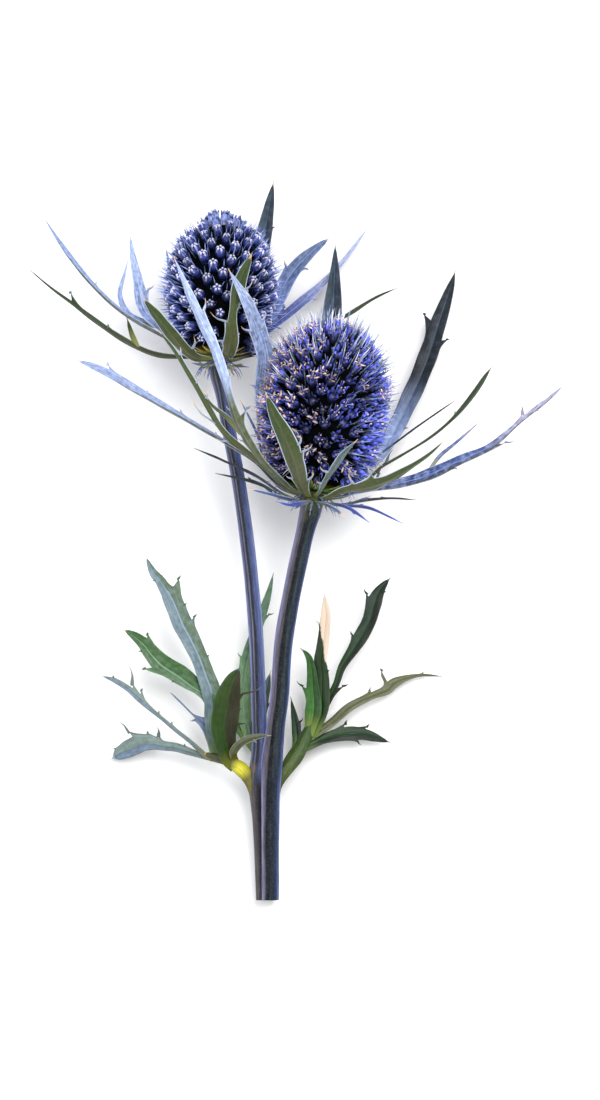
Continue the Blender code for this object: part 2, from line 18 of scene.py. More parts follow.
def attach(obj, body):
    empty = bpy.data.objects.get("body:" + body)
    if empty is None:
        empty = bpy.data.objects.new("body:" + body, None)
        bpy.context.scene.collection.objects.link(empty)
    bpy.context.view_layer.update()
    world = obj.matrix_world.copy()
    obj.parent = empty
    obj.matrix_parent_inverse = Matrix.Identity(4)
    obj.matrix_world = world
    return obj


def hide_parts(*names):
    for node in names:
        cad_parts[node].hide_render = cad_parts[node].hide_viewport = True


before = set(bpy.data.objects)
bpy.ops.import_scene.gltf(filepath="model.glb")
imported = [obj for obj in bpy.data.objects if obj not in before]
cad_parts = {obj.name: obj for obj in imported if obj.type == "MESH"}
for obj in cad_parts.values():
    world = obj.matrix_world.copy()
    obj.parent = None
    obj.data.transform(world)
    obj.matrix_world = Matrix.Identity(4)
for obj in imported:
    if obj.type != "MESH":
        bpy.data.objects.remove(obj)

LOG = logging.getLogger("sea_holly")
MM = 0.001
BODY = "root"

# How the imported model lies: its cut end's middle in millimetres, and how far its heads are raised.
CUT_MIDDLE = (-6.735, -79.243, 2.58)
HEADS_RAISED_DEG = 9.57

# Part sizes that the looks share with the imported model, in millimetres.
FRONT_HEAD_BASE = (10.2, 0.0, 90.0)
BACK_HEAD_BASE = (-10.6, 6.4, 120.2)
CUT_RADIUS = 2.2
JOINT_RADIUS = 2.5
RIDGE_CUT_RADIUS = 1.0
RIDGE_JOINT_RADIUS = 1.75
STALK_STRAIGHT = 4.0
FRONT_STALK_RADIUS = 2.05
FRONT_TOP_RADIUS = 2.6
BACK_STALK_RADIUS = 1.6
BACK_TOP_RADIUS = 2.2
SEAT_GAP = 0.35
UPPER_WHORL_LIFT = -1.05
LOWER_WHORL_LIFT = -2.5
HEAD_CLEARANCE = 1.15
JOINT_HEIGHT = 28.6
FRONT_STALK_LINE = ((0.42, 0, 0), (0.45, 0, 14), (0.75, -0.1, 27), (1.9, -0.4, 38), (2.8, -0.6, 45.3),
                    (3.7, -0.7, 57), (5.8, -0.6, 69), (8.3, -0.3, 80.6))
BACK_STALK_LINE = ((-1.45, -0.5, 0), (-1.7, -0.5, 9), (-2.1, -0.45, 18), (-2.45, -0.1, 26),
                   (-1.75, 1.0, 33), (-1.75, 1.9, 41), (-2.35, 2.7, 57), (-3.3, 3.4, 69), (-4.6, 4.2, 80.6),
                   (-6.3, 4.9, 92.4), (-8.6, 5.5, 104.3), (-9.9, 5.7, 112))

# Where the camera stands, as (right, in front, up), how many line points a rounded bend spreads over, and
# the angle between two faces from which their edge stays sharp.
VIEWED_FROM = (7.26, 1680.6, 77.0)
EASED_OVER = 11
SHARP_DEG = 60.0

Point = tuple[float, float, float]
Colour = tuple[float, float, float]
Widths = tuple[tuple[float, float], ...]
Outline = tuple[tuple[float, float, float], ...]
Array = np.ndarray
Socket = bpy.types.NodeSocket

# Colours are given in steps from 0 to 255, as red, green and blue.
TAN = (226, 184, 140)
GREY = (0.5, 0.5, 0.5, 1)


def paint(steps: Colour) -> Colour:
    """A colour in steps, as the linear values that a shader takes."""
    shares = np.array(steps) / 255
    linear = np.where(shares <= 0.04045, shares / 12.92, ((shares + 0.055) / 1.055) ** 2.4)
    return tuple(float(value) for value in linear)


class Slot(Enum):
    """The record's material slots."""

    STEM = "stem"
    OPEN_FLORETS = "open_florets"
    CLOSED_FLORETS = "closed_florets"
    FRONT_BRACT = "front_bract"
    BACK_BRACT = "back_bract"
    LEAF = "leaf"


@dataclass
class Shape:
    """Points in millimetres, with the faces between them and named values at the points."""

    points: Array
    quads: Array
    triangles: Array
    values: dict[str, Array] = field(default_factory=dict)
    looks: Array | None = None

    def look_of_faces(self) -> Array:
        """The number of the finish that each face wears, quads first."""
        count = len(self.quads) + len(self.triangles)
        return np.zeros(count, int) if self.looks is None else self.looks

    def wearing(self, look: int) -> "Shape":
        """The same shape with every face wearing this finish."""
        self.looks = np.full(len(self.quads) + len(self.triangles), look)
        return self

    def marked(self, **values: float) -> "Shape":
        """The same shape with each of these values at all its points."""
        for name, value in values.items():
            self.values[name] = np.full(len(self.points), value, float)
        return self


def joined(shapes: Sequence[Shape]) -> Shape:
    """Puts several shapes into one.

    Args:
        shapes: The shapes to put together. They all have the same named values.

    Returns:
        One shape that holds them all, each still closed in itself.
    """
    starts = np.cumsum([0] + [len(shape.points) for shape in shapes[:-1]])
    quad_looks = [shape.look_of_faces()[: len(shape.quads)] for shape in shapes]
    triangle_looks = [shape.look_of_faces()[len(shape.quads):] for shape in shapes]
    return Shape(
        np.vstack([shape.points for shape in shapes]),
        np.vstack([shape.quads + start for shape, start in zip(shapes, starts)]).astype(int),
        np.vstack([shape.triangles + start for shape, start in zip(shapes, starts)]).astype(int),
        {key: np.concatenate([shape.values[key] for shape in shapes]) for key in shapes[0].values},
        np.concatenate(quad_looks + triangle_looks),
    )


def ringed(rings: Array) -> tuple[Array, Array, Array]:
    """Joins rings of points into a closed skin.

    Args:
        rings: Ring after ring of points, as an array of rows, points and coordinates.

    Returns:
        All points with the middles of the two ends, the quads and the triangles.
    """
    rows, count, _ = rings.shape
    row, column = np.meshgrid(np.arange(rows - 1), np.arange(count), indexing="ij")
    beside = (column + 1) % count
    quads = np.stack([row * count + column, row * count + beside, (row + 1) * count + beside,
                      (row + 1) * count + column], axis=-1).reshape(-1, 4)
    around = np.arange(count)
    ahead = (around + 1) % count
    base, last = np.full(count, rows * count), (rows - 1) * count
    caps = np.vstack([np.stack([base, ahead, around], axis=1),
                      np.stack([base + 1, last + around, last + ahead], axis=1)])
    points = np.vstack([rings.reshape(-1, 3), rings[0].mean(axis=0), rings[-1].mean(axis=0)])
    return points, quads, caps


def smooth_line(points: Sequence[Point], count: int) -> Array:
    """Runs a smooth curve through the points (a Catmull-Rom spline).

    Args:
        points: The points that it passes through.
        count: How many points to give back.

    Returns:
        Evenly spaced points along the curve.
    """
    given = np.array(points, float)
    padded = np.vstack([2 * given[0] - given[1], given, 2 * given[-1] - given[-2]])
    fine = []
    for i in range(len(given) - 1):
        a, b, c, d = padded[i : i + 4]
        for t in np.linspace(0, 1, 24, endpoint=False):
            fine.append(0.5 * (2 * b + (c - a) * t + (2 * a - 5 * b + 4 * c - d) * t**2
                               + (3 * b - a - 3 * c + d) * t**3))
    fine = np.array([*fine, given[-1]])
    along = np.concatenate([[0], np.cumsum(np.linalg.norm(np.diff(fine, axis=0), axis=1))])
    wanted = np.linspace(0, along[-1], count)
    return np.stack([np.interp(wanted, along, fine[:, k]) for k in range(3)], axis=1)


def unit(vectors: Array) -> Array:
    """The vectors at length one."""
    return vectors / np.maximum(np.linalg.norm(vectors, axis=-1, keepdims=True), 1e-9)


@dataclass(frozen=True)
class LaidPlant:
    """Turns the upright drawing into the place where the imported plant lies, in metres."""

    cut_middle: Point = CUT_MIDDLE
    raised_deg: float = HEADS_RAISED_DEG

    def turn(self) -> Array:
        """The rotation that lays the upright plant on its back."""
        return np.array(Matrix.Rotation(math.radians(self.raised_deg - 90), 3, "X"))

    def place(self, points: Array) -> Array:
        """The points of the upright drawing as they lie, in metres."""
        return (points @ self.turn().T + np.array(self.cut_middle)) * MM


class Graph:
    """Short ways to add and join the nodes of one shader tree."""

    def __init__(self, tree: bpy.types.NodeTree) -> None:
        """Works on this tree."""
        self.tree = tree

    def node(self, kind: str, **settings: object) -> bpy.types.Node:
        """Adds a node of this kind with these settings.

        Args:
            kind: The node's type.
            settings: Its settings, by name.

        Returns:
            The node.
        """
        made = self.tree.nodes.new(kind)
        for name, value in settings.items():
            setattr(made, name, value)
        return made

    def feed(self, socket: Socket, value: object) -> None:
        """Gives a socket a link, a colour in steps or a number.

        Args:
            socket: The input.
            value: A number, a colour in steps, or an output.
        """
        if isinstance(value, Socket):
            self.tree.links.new(value, socket)
        elif isinstance(value, tuple):
            socket.default_value = (*paint(value), 1)
        else:
            socket.default_value = value

    def filled(self, made: bpy.types.Node, *values: object) -> Socket:
        """The first output of a node, once its first inputs have these values."""
        for socket, value in zip(made.inputs, values):
            self.feed(socket, value)
        return made.outputs[0]

    def sum(self, operation: str, *values: object, clamp: bool = False) -> Socket:
        """The result of one Math node."""
        return self.filled(self.node("ShaderNodeMath", operation=operation, use_clamp=clamp), *values)

    def times(self, first: object, second: object) -> Socket:
        """The product of two values."""
        return self.sum("MULTIPLY", first, second)

    def ease(self, value: object, low: object, high: object) -> Socket:
        """A value that rises softly from 0 to 1 between low and high."""
        soft = self.node("ShaderNodeMapRange", interpolation_type="SMOOTHSTEP")
        return self.filled(soft, value, low, high)

    def fall(self, value: object, low: object, high: object) -> Socket:
        """A value that falls softly from 1 to 0 between low and high."""
        return self.sum("SUBTRACT", 1.0, self.ease(value, low, high))

    def mix(self, amount: object, first: object, second: object, way: str = "MIX") -> Socket:
        """The first colour with this much of the second.

        Args:
            amount: How much of the second.
            first: The first colour.
            second: The second colour.
            way: How the two blend.

        Returns:
            The mixed colour.
        """
        made = self.node("ShaderNodeMix", data_type="RGBA", blend_type=way)
        for number, value in ((0, amount), (6, first), (7, second)):
            self.feed(made.inputs[number], value)
        return made.outputs[2]

    def value(self, name: str) -> Socket:
        """A named value of the mesh's points."""
        return self.node("ShaderNodeAttribute", attribute_name=name).outputs["Fac"]

    def noise(self, scale: object, detail: float = 2.0, vector: object = None) -> Socket:
        """Soft noise from 0 to 1, over the object's own space unless a vector is given.

        Args:
            scale: How fine it is.
            detail: How many finer layers it has.
            vector: Where it is read.

        Returns:
            The noise.
        """
        made = self.node("ShaderNodeTexNoise")
        self.feed(made.inputs["Scale"], scale)
        self.feed(made.inputs["Detail"], detail)
        self.feed(made.inputs["Vector"], vector or self.node("ShaderNodeTexCoord").outputs["Object"])
        return made.outputs["Fac"]

    def vector(self, x: object, y: object, z: object = 0.0) -> Socket:
        """A vector of three values."""
        return self.filled(self.node("ShaderNodeCombineXYZ"), x, y, z)

    def use(self, group: bpy.types.NodeTree, **values: object) -> bpy.types.Node:
        """Places a node group with these values in its inputs.

        Args:
            group: The group.
            values: What goes into its inputs, by name.

        Returns:
            The group's node.
        """
        made = self.node("ShaderNodeGroup", node_tree=group)
        for name, value in values.items():
            self.feed(made.inputs[name], value)
        return made


class Effects:
    """The shader node groups that several finishes share, each built once."""

    def __init__(self) -> None:
        """Builds the groups."""
        self.streaks = self._streaks()
        self.bloom = self._bloom()
        self.shading = self._shading()

    @staticmethod
    def _group(name: str, inputs: dict[str, object], outputs: dict[str, type]) -> tuple:
        """Makes an empty group.

        Args:
            name: The group's name.
            inputs: Each input's first value, a number or a colour.
            outputs: Each output's kind, float or tuple for a colour.

        Returns:
            The group, a graph on it, its inputs' sockets and its outputs' sockets.
        """
        kinds = {float: "NodeSocketFloat", tuple: "NodeSocketColor"}
        group = bpy.data.node_groups.new(name, "ShaderNodeTree")
        for label, value in inputs.items():
            socket = group.interface.new_socket(label, in_out="INPUT", socket_type=kinds[type(value)])
            socket.default_value = value
        for label, kind in outputs.items():
            group.interface.new_socket(label, in_out="OUTPUT", socket_type=kinds[kind])
        graph = Graph(group)
        return group, graph, graph.node("NodeGroupInput").outputs, graph.node("NodeGroupOutput").inputs

    def _streaks(self) -> bpy.types.NodeTree:
        """Fine veins that run lengthwise, as a mask that darkens and lightens a blade or a stalk.

        Returns:
            The group.
        """
        group, graph, given, result = self._group(
            "lengthwise_streaks", {"Across": 0.0, "Along": 0.0, "Fineness": 8.0, "Depth": 0.3},
            {"Shade": float, "Height": float})
        wide = graph.times(given["Across"], given["Fineness"])
        fine = graph.noise(1.0, 3.0, graph.vector(wide, graph.times(given["Along"], 0.35)))
        broad = graph.noise(1.0, 1.0, graph.vector(graph.times(wide, 0.3), given["Along"], 4.0))
        both = graph.sum("ADD", graph.times(fine, 0.65), graph.times(broad, 0.35))
        spread = graph.ease(both, 0.36, 0.64)
        darker = graph.times(graph.sum("SUBTRACT", 1.0, spread), given["Depth"])
        graph.feed(result["Shade"], graph.sum("SUBTRACT", 1.0, darker))
        graph.feed(result["Height"], spread)
        return group

    def _bloom(self) -> bpy.types.NodeTree:
        """A waxy, powdery bloom in soft patches.

        Returns:
            The group.
        """
        group, graph, given, result = self._group(
            "waxy_bloom", {"Colour": GREY, "Wax": (0.8, 0.85, 0.9, 1), "Amount": 0.3, "Scale": 900.0},
            {"Colour": tuple, "Mask": float})
        patches = graph.noise(given["Scale"], 4.0)
        mask = graph.sum("MULTIPLY", graph.ease(patches, 0.4, 0.68), given["Amount"], clamp=True)
        graph.feed(result["Colour"], graph.mix(mask, given["Colour"], given["Wax"]))
        graph.feed(result["Mask"], mask)
        return group

    def _shading(self) -> bpy.types.NodeTree:
        """A colour made darker or lighter by a shade.

        Returns:
            The group.
        """
        group, graph, given, result = self._group(
            "shaded_colour", {"Colour": GREY, "Shade": 1.0}, {"Colour": tuple})
        grey = graph.filled(graph.node("ShaderNodeCombineColor"), *[given["Shade"]] * 3)
        graph.feed(result["Colour"], graph.mix(1.0, given["Colour"], grey, "MULTIPLY"))
        return group


@dataclass(frozen=True)
class Finish:
    """What every finish has: a name, the gloss of its surface, and a material built from nodes."""

    name: str
    roughness: float
    gloss: float = field(default=0.5, kw_only=True)

    def start(self) -> tuple[bpy.types.Material, Graph, bpy.types.Node]:
        """An empty material with its shader, the graph of its nodes and the shader itself.

        Returns:
            The material, its graph and its shader.
        """
        material = bpy.data.materials.new(self.name)
        material.use_nodes = True
        shader = material.node_tree.nodes["Principled BSDF"]
        shader.inputs["Roughness"].default_value = self.roughness
        shader.inputs["Specular IOR Level"].default_value = self.gloss
        return material, Graph(material.node_tree), shader

    @staticmethod
    def bump(graph: Graph, shader: bpy.types.Node, height: object, distance_mm: float,
             strength: float) -> None:
        """Lets a height roughen the shader's surface.

        Args:
            graph: The material's nodes.
            shader: Its shader.
            height: The height, from 0 to 1.
            distance_mm: How far apart 0 and 1 are.
            strength: How much of it shows.
        """
        made = graph.node("ShaderNodeBump")
        for name, value in (("Strength", strength), ("Distance", distance_mm * MM), ("Height", height)):
            graph.feed(made.inputs[name], value)
        graph.feed(shader.inputs["Normal"], made.outputs[0])


@dataclass(frozen=True)
class BladeFinish(Finish):
    """A bract's or leaf's two faces, from base to tip, with its midrib, pale margin and tan spines."""

    inner: Colour
    inner_tip: Colour
    outer: Colour
    outer_tip: Colour
    midrib: Colour
    margin: Colour
    other_half: Colour | None = None
    split: tuple[float, float] = (0.0, 0.0)
    split_strength: float = 1.0
    base: Colour = (137, 142, 80)
    base_reach: tuple[float, float] = (1.0, 6.0)
    spine: Colour = TAN
    turn_at: tuple[float, float] = (0.1, 0.9)
    wax: float = 0.25
    streaks: float = 0.35
    rib: float = 0.5
    edge: float = 0.75
    dry: Colour = (225, 213, 196)
    dry_beyond: float = 2.0
    dry_slant: float = 0.0

    def material(self, effects: Effects) -> bpy.types.Material:
        """Builds the material.

        Args:
            effects: The shared node groups.

        Returns:
            The finished material.
        """
        material, graph, shader = self.start()
        across, along, reach = graph.value("across"), graph.value("along"), graph.value("reach")
        travelled = graph.ease(along, *self.turn_at)
        inner = graph.mix(travelled, self.inner, self.inner_tip)
        if self.other_half:
            bound = graph.sum("MULTIPLY_ADD", along, self.split[1], self.split[0])
            past = graph.sum("SUBTRACT", graph.sum("MULTIPLY_ADD", graph.noise(500), 0.2, across), bound)
            inner = graph.mix(graph.times(graph.ease(past, 0.0, 0.2), self.split_strength), inner,
                              self.other_half)
        outer = graph.mix(travelled, self.outer, self.outer_tip)
        colour = graph.mix(graph.value("inner"), outer, inner)
        streaks = graph.use(effects.streaks, Across=across, Along=reach, Fineness=7.0, Depth=self.streaks)
        bloom = graph.use(effects.bloom, Colour=colour, Wax=self.midrib, Amount=self.wax, Scale=700.0)
        colour = graph.use(effects.shading, Colour=bloom.outputs["Colour"],
                           Shade=streaks.outputs["Shade"]).outputs["Colour"]
        off_middle = graph.sum("ABSOLUTE", across)
        colour = graph.mix(graph.times(graph.fall(off_middle, 0.02, 0.13), self.rib), colour, self.midrib)
        colour = graph.mix(graph.times(graph.ease(off_middle, 0.84, 0.97), self.edge), colour, self.margin)
        colour = graph.mix(graph.times(graph.fall(reach, *self.base_reach), 0.8), colour, self.base)
        slanted = graph.sum("MULTIPLY_ADD", across, self.dry_slant, along)
        dried = graph.ease(graph.sum("MULTIPLY_ADD", graph.noise(900), 0.08, slanted), self.dry_beyond,
                           self.dry_beyond + 0.04)
        colour = graph.mix(dried, colour, self.dry)
        colour = graph.mix(graph.ease(graph.value("spine"), 0.25, 0.75), colour, self.spine)
        graph.feed(shader.inputs["Base Color"], colour)
        rough = graph.sum("ADD", self.roughness, graph.times(bloom.outputs["Mask"], 0.3))
        graph.feed(shader.inputs["Roughness"], rough)
        self.bump(graph, shader, streaks.outputs["Height"], 0.06, 0.5)
        return material


@dataclass(frozen=True)
class StalkFinish(Finish):
    """A stalk's skin: lengthwise bands from its left edge to its right as seen, partly its own colour and
    partly painted highlights and painted shadow, painted shade in its rib grooves, and a yellow-green top.
    """

    stripes_and_painted_light: tuple[tuple[float, Colour], ...]
    low_stripes_and_painted_light: tuple[tuple[float, Colour], ...]
    top_strength: float = 0.7
    # Painted shade in the rib grooves.
    painted_groove_shade: Colour = (24, 28, 36)
    joint: Colour = (96, 88, 84)
    top: Colour = (104, 116, 50)
    wax: Colour = (168, 180, 210)

    @staticmethod
    def ramp(graph: Graph, place: object, stripes_and_painted_light: tuple[tuple[float, Colour], ...]) -> Socket:
        """The colour at a place across the stalk, its own or painted light and shade.

        Args:
            graph: The material's nodes.
            place: The place, from 0 at the left edge to 1 at the right.
            stripes_and_painted_light: The bands' places and colours.

        Returns:
            The colour.
        """
        made = graph.node("ShaderNodeValToRGB")
        marks = made.color_ramp.elements
        while len(marks) < len(stripes_and_painted_light):
            marks.new(0.5)
        for mark, (position, colour) in zip(marks, stripes_and_painted_light):
            mark.position = position
            mark.color = (*paint(colour), 1)
        return graph.filled(made, place)

    def material(self, effects: Effects) -> bpy.types.Material:
        """Builds the material.

        Args:
            effects: The shared node groups.

        Returns:
            The finished material.
        """
        material, graph, shader = self.start()
        around, rise, rib = graph.value("around"), graph.value("rise"), graph.value("rib")
        drift = graph.noise(1.0, 2.0, graph.vector(graph.times(around, 0.5), graph.times(rise, 0.06)))
        place = graph.sum("ADD", graph.value("place"), graph.sum("MULTIPLY_ADD", drift, 0.16, -0.08))
        # The bands follow the stalk's sides as seen, so their pale edge lines are painted highlights and
        # their near-black bands painted shadow.
        upper, lower = (self.ramp(graph, place, stripes_and_painted_light) for stripes_and_painted_light in (self.stripes_and_painted_light, self.low_stripes_and_painted_light))
        colour = graph.mix(graph.ease(rise, 24.0, 30.0), lower, upper)
        bloom = graph.use(effects.bloom, Colour=colour, Wax=self.wax, Amount=0.05, Scale=2600.0)
        streaks = graph.use(effects.streaks, Across=around, Along=graph.times(rise, 0.3), Fineness=4.5,
                            Depth=0.5)
        colour = graph.use(effects.shading, Colour=bloom.outputs["Colour"],
                           Shade=streaks.outputs["Shade"]).outputs["Colour"]
        # Painted shade in the rib grooves.
        colour = graph.mix(graph.times(graph.fall(rib, 0.0, 0.5), 0.55), colour, self.painted_groove_shade)
        near_top = graph.sum("ADD", graph.value("top"), graph.times(graph.noise(600), 0.5))
        near_top = graph.ease(near_top, 0.75, 1.3)
        colour = graph.mix(graph.times(near_top, self.top_strength), colour, self.top)
        swollen = graph.sum("ADD", graph.value("joint"), graph.times(graph.noise(500), 0.5))
        swollen = graph.ease(swollen, 0.7, 1.1)
        graph.feed(shader.inputs["Base Color"], graph.mix(swollen, colour, self.joint))
        rough = graph.sum("ADD", self.roughness, graph.times(bloom.outputs["Mask"], 0.4))
        graph.feed(shader.inputs["Roughness"], rough)
        self.bump(graph, shader, streaks.outputs["Height"], 0.08, 0.6)
        return material


@dataclass(frozen=True)
class PithFinish(Finish):
    """The cut end: a pale, spongy middle inside a greener ring."""

    pith: Colour = (214, 216, 176)
    rind: Colour = (96, 116, 70)

    def material(self, effects: Effects) -> bpy.types.Material:
        """Builds the material.

        Args:
            effects: The shared node groups.

        Returns:
            The finished material.
        """
        material, graph, shader = self.start()
        cells = graph.noise(2600, 3.0)
        ring = graph.ease(graph.sum("ADD", graph.value("around"), graph.times(cells, 0.12)), 0.78, 0.92)
        colour = graph.use(effects.shading, Colour=graph.mix(ring, self.pith, self.rind),
                           Shade=graph.sum("ADD", 0.7, graph.times(cells, 0.5))).outputs["Colour"]
        graph.feed(shader.inputs["Base Color"], colour)
        self.bump(graph, shader, cells, 0.15, 0.7)
        return material


@dataclass(frozen=True)
class FloretFinish(Finish):
    """One kind of small floret part, from its base to its tip."""

    low: Colour
    high: Colour
    fleck: Colour
    flecks: float = 0.25
    rise: tuple[float, float] = (0.1, 0.9)
    uneven: float = 0.5
    # How bright a part stays on a floret that gets no painted light: the depth of the painted shade.
    painted_shade_level: float = 1.0

    def material(self, effects: Effects) -> bpy.types.Material:
        """Builds the material.

        Args:
            effects: The shared node groups.

        Returns:
            The finished material.
        """
        material, graph, shader = self.start()
        colour = graph.mix(graph.ease(graph.value("rise"), *self.rise), self.low, self.high)
        bloom = graph.use(effects.bloom, Colour=colour, Wax=self.fleck, Amount=self.flecks, Scale=1500.0)
        shade = graph.sum("ADD", 1.0 - self.uneven / 2, graph.times(graph.value("tint"), self.uneven))
        # Painted light and shade: each floret's colour is darkened by its glow value, which it takes from
        # the way that it faces and its height.
        lit = graph.sum("MULTIPLY_ADD", graph.value("glow"), 1.0 - self.painted_shade_level, self.painted_shade_level)
        colour = graph.use(effects.shading, Colour=bloom.outputs["Colour"],
                           Shade=graph.times(shade, lit)).outputs["Colour"]
        graph.feed(shader.inputs["Base Color"], colour)
        self.bump(graph, shader, graph.noise(4000), 0.05, 0.4)
        return material


@dataclass(frozen=True)
class FloorFinish(Finish):
    """A plain pale floor with the faintest unevenness."""

    colour: Colour = (252, 252, 253)

    def material(self, effects: Effects) -> bpy.types.Material:
        """Builds the material.

        Args:
            effects: The shared node groups.

        Returns:
            The finished material.
        """
        material, graph, shader = self.start()
        shade = graph.sum("ADD", 0.99, graph.times(graph.noise(6.0), 0.01))
        graph.feed(shader.inputs["Base Color"],
                   graph.use(effects.shading, Colour=self.colour, Shade=shade).outputs["Colour"])
        return material


class Tone(Enum):
    """The colourings that the plant's blades come in."""

    SILVER = BladeFinish(
        "silver_blade", 0.42, (118, 142, 206), (172, 192, 238), (126, 138, 160), (176, 190, 226),
        (206, 218, 248), (208, 220, 246), gloss=0.35, wax=0.3, streaks=0.6, rib=0.3)
    SLATE_BLUE = BladeFinish(
        "slate_blue_blade", 0.42, (134, 154, 220), (84, 104, 144), (90, 104, 130), (84, 98, 124),
        (176, 194, 240), (160, 178, 226), gloss=0.3, wax=0.16, streaks=0.55, turn_at=(0.4, 0.8), rib=0.35,
        edge=0.5)
    SILVER_OLIVE = BladeFinish(
        "silver_olive_blade", 0.42, (70, 78, 58), (90, 98, 84), (92, 98, 62), (150, 160, 170),
        (196, 206, 232), (196, 206, 228), other_half=(146, 166, 214), split=(1.2, -2.4), wax=0.12,
        streaks=0.6, rib=0.25)
    STEEL = BladeFinish(
        "steel_blade", 0.42, (50, 66, 110), (120, 138, 196), (50, 62, 84), (86, 102, 142), (150, 168, 216),
        (166, 182, 222), gloss=0.3, wax=0.15, streaks=0.5)
    SLATE = BladeFinish(
        "slate_blade", 0.42, (168, 190, 240), (28, 35, 40), (60, 70, 78), (34, 40, 44), (140, 160, 200),
        (60, 70, 80), spine=(60, 62, 62), gloss=0.2, wax=0.05, turn_at=(0.3, 0.62), rib=0.12, edge=0.35)
    SLATE_TEAL = BladeFinish(
        "slate_teal_blade", 0.42, (132, 150, 196), (44, 60, 70), (60, 72, 82), (40, 48, 54),
        (110, 132, 160), (104, 124, 156), spine=(120, 112, 106), gloss=0.2, other_half=(34, 44, 60),
        wax=0.14, streaks=0.5, turn_at=(0.55, 0.85), rib=0.3, edge=0.4, split=(0.15, 0.0))
    OLIVE = BladeFinish(
        "olive_blade", 0.42, (120, 136, 160), (130, 146, 170), (84, 90, 54), (56, 76, 34), (104, 98, 68),
        (196, 208, 226), gloss=0.3, wax=0.12, streaks=0.3, rib=0.3, edge=0.9)
    DARK_OLIVE = BladeFinish(
        "dark_olive_blade", 0.42, (96, 112, 136), (100, 116, 140), (56, 64, 36), (40, 54, 26), (74, 76, 48),
        (130, 140, 140), spine=(110, 84, 64), gloss=0.25, wax=0.06, streaks=0.3, rib=0.2, edge=0.45)
    INDIGO = BladeFinish(
        "indigo_blade", 0.42, (50, 62, 118), (76, 96, 196), (50, 60, 110), (70, 88, 180), (120, 138, 214),
        (140, 156, 226), spine=(96, 110, 190), gloss=0.3, wax=0.1, streaks=0.5, rib=0.3, edge=0.5)
    BLUE_OLIVE = BladeFinish(
        "blue_olive_blade", 0.42, (140, 156, 180), (150, 166, 190), (96, 108, 96), (76, 96, 92),
        (150, 168, 180), (186, 202, 226), wax=0.2, rib=0.4, edge=0.9)
    OLIVE_TO_SILVER = BladeFinish(
        "olive_to_silver_blade", 0.42, (120, 136, 150), (206, 218, 244), (82, 92, 48), (172, 192, 240),
        (206, 218, 248), (206, 216, 240), wax=0.06, turn_at=(0.42, 0.56), streaks=0.5, rib=0.1, edge=0.55)
    BLUE_TO_VIOLET = BladeFinish(
        "blue_to_violet_blade", 0.42, (62, 84, 146), (190, 184, 208), (84, 84, 72), (120, 112, 104),
        (170, 186, 230), (176, 178, 206), gloss=0.3, other_half=(88, 88, 64), wax=0.5, streaks=0.7,
        turn_at=(0.6, 0.8), rib=0.35, split=(0.45, 0.0), split_strength=0.85)
    VIOLET = BladeFinish(
        "violet_blade", 0.42, (56, 74, 146), (180, 190, 228), (56, 62, 104), (110, 116, 176),
        (150, 162, 220), (170, 182, 228), wax=0.15, streaks=0.55, turn_at=(0.4, 0.8))
    GREY_GREEN = BladeFinish(
        "grey_green_leaf", 0.48, (98, 122, 130), (108, 130, 142), (90, 104, 84), (100, 118, 110),
        (136, 158, 172), (84, 106, 94), spine=(225, 188, 144), other_half=(66, 94, 66), base=(110, 130, 60),
        wax=0.3, streaks=0.4, rib=0.55, edge=0.3, split=(0.1, 0.0))
    BRIGHT_GREEN = BladeFinish(
        "bright_green_leaf", 0.45, (102, 132, 106), (62, 98, 58), (90, 108, 72), (90, 108, 72),
        (140, 168, 144), (78, 112, 70), spine=(225, 188, 144), gloss=0.3, other_half=(36, 84, 22),
        base=(120, 132, 60), wax=0.16, streaks=0.4, edge=0.25)
    BLUE_GREY = BladeFinish(
        "blue_grey_leaf", 0.45, (92, 110, 118), (104, 124, 150), (84, 92, 60), (84, 96, 90), (74, 82, 66),
        (58, 68, 62), spine=(150, 166, 180), other_half=(110, 132, 128), base=(110, 112, 56), wax=0.35,
        streaks=0.3, rib=0.25, edge=0.5)
    DARK_BLUE = BladeFinish(
        "dark_blue_leaf", 0.42, (40, 70, 36), (96, 112, 150), (60, 74, 70), (70, 84, 90), (110, 130, 140),
        (110, 130, 150), spine=(96, 104, 120), base=(150, 170, 170), wax=0.2, turn_at=(0.2, 0.4), rib=0.3,
        edge=0.5)
    DARK_GREEN = BladeFinish(
        "dark_green_leaf", 0.42, (28, 62, 20), (30, 48, 38), (50, 70, 34), (40, 56, 30), (44, 80, 34),
        (36, 66, 46), spine=(90, 108, 96), gloss=0.25, other_half=(28, 34, 28), base=(76, 100, 40),
        wax=0.08, streaks=0.4, rib=0.35, edge=0.3, split=(0.25, 0.0))
    FRESH_GREEN = BladeFinish(
        "fresh_green_leaf", 0.42, (52, 108, 38), (40, 88, 26), (70, 100, 50), (70, 100, 50), (88, 134, 70),
        (60, 104, 58), spine=(90, 120, 80), gloss=0.3, other_half=(28, 68, 20), base=(110, 126, 50),
        wax=0.12, streaks=0.45, rib=0.4, edge=0.3)
    PALE_GREEN = BladeFinish(
        "pale_green_leaf", 0.48, (102, 142, 92), (90, 126, 98), (110, 140, 100), (110, 140, 100),
        (136, 166, 138), (130, 160, 130), spine=(110, 140, 110), base=(110, 130, 50), wax=0.3, streaks=0.4,
        edge=0.3)
    DRIED_TIP = BladeFinish(
        "dried_tip_leaf", 0.42, (28, 54, 20), (22, 42, 20), (60, 80, 44), (50, 66, 40), (60, 84, 44),
        (40, 70, 40), spine=(196, 190, 180), gloss=0.3, base=(90, 110, 40), wax=0.08, dry_beyond=0.665,
        dry_slant=0.14, dry=(206, 188, 168), rib=0.4, edge=0.3)
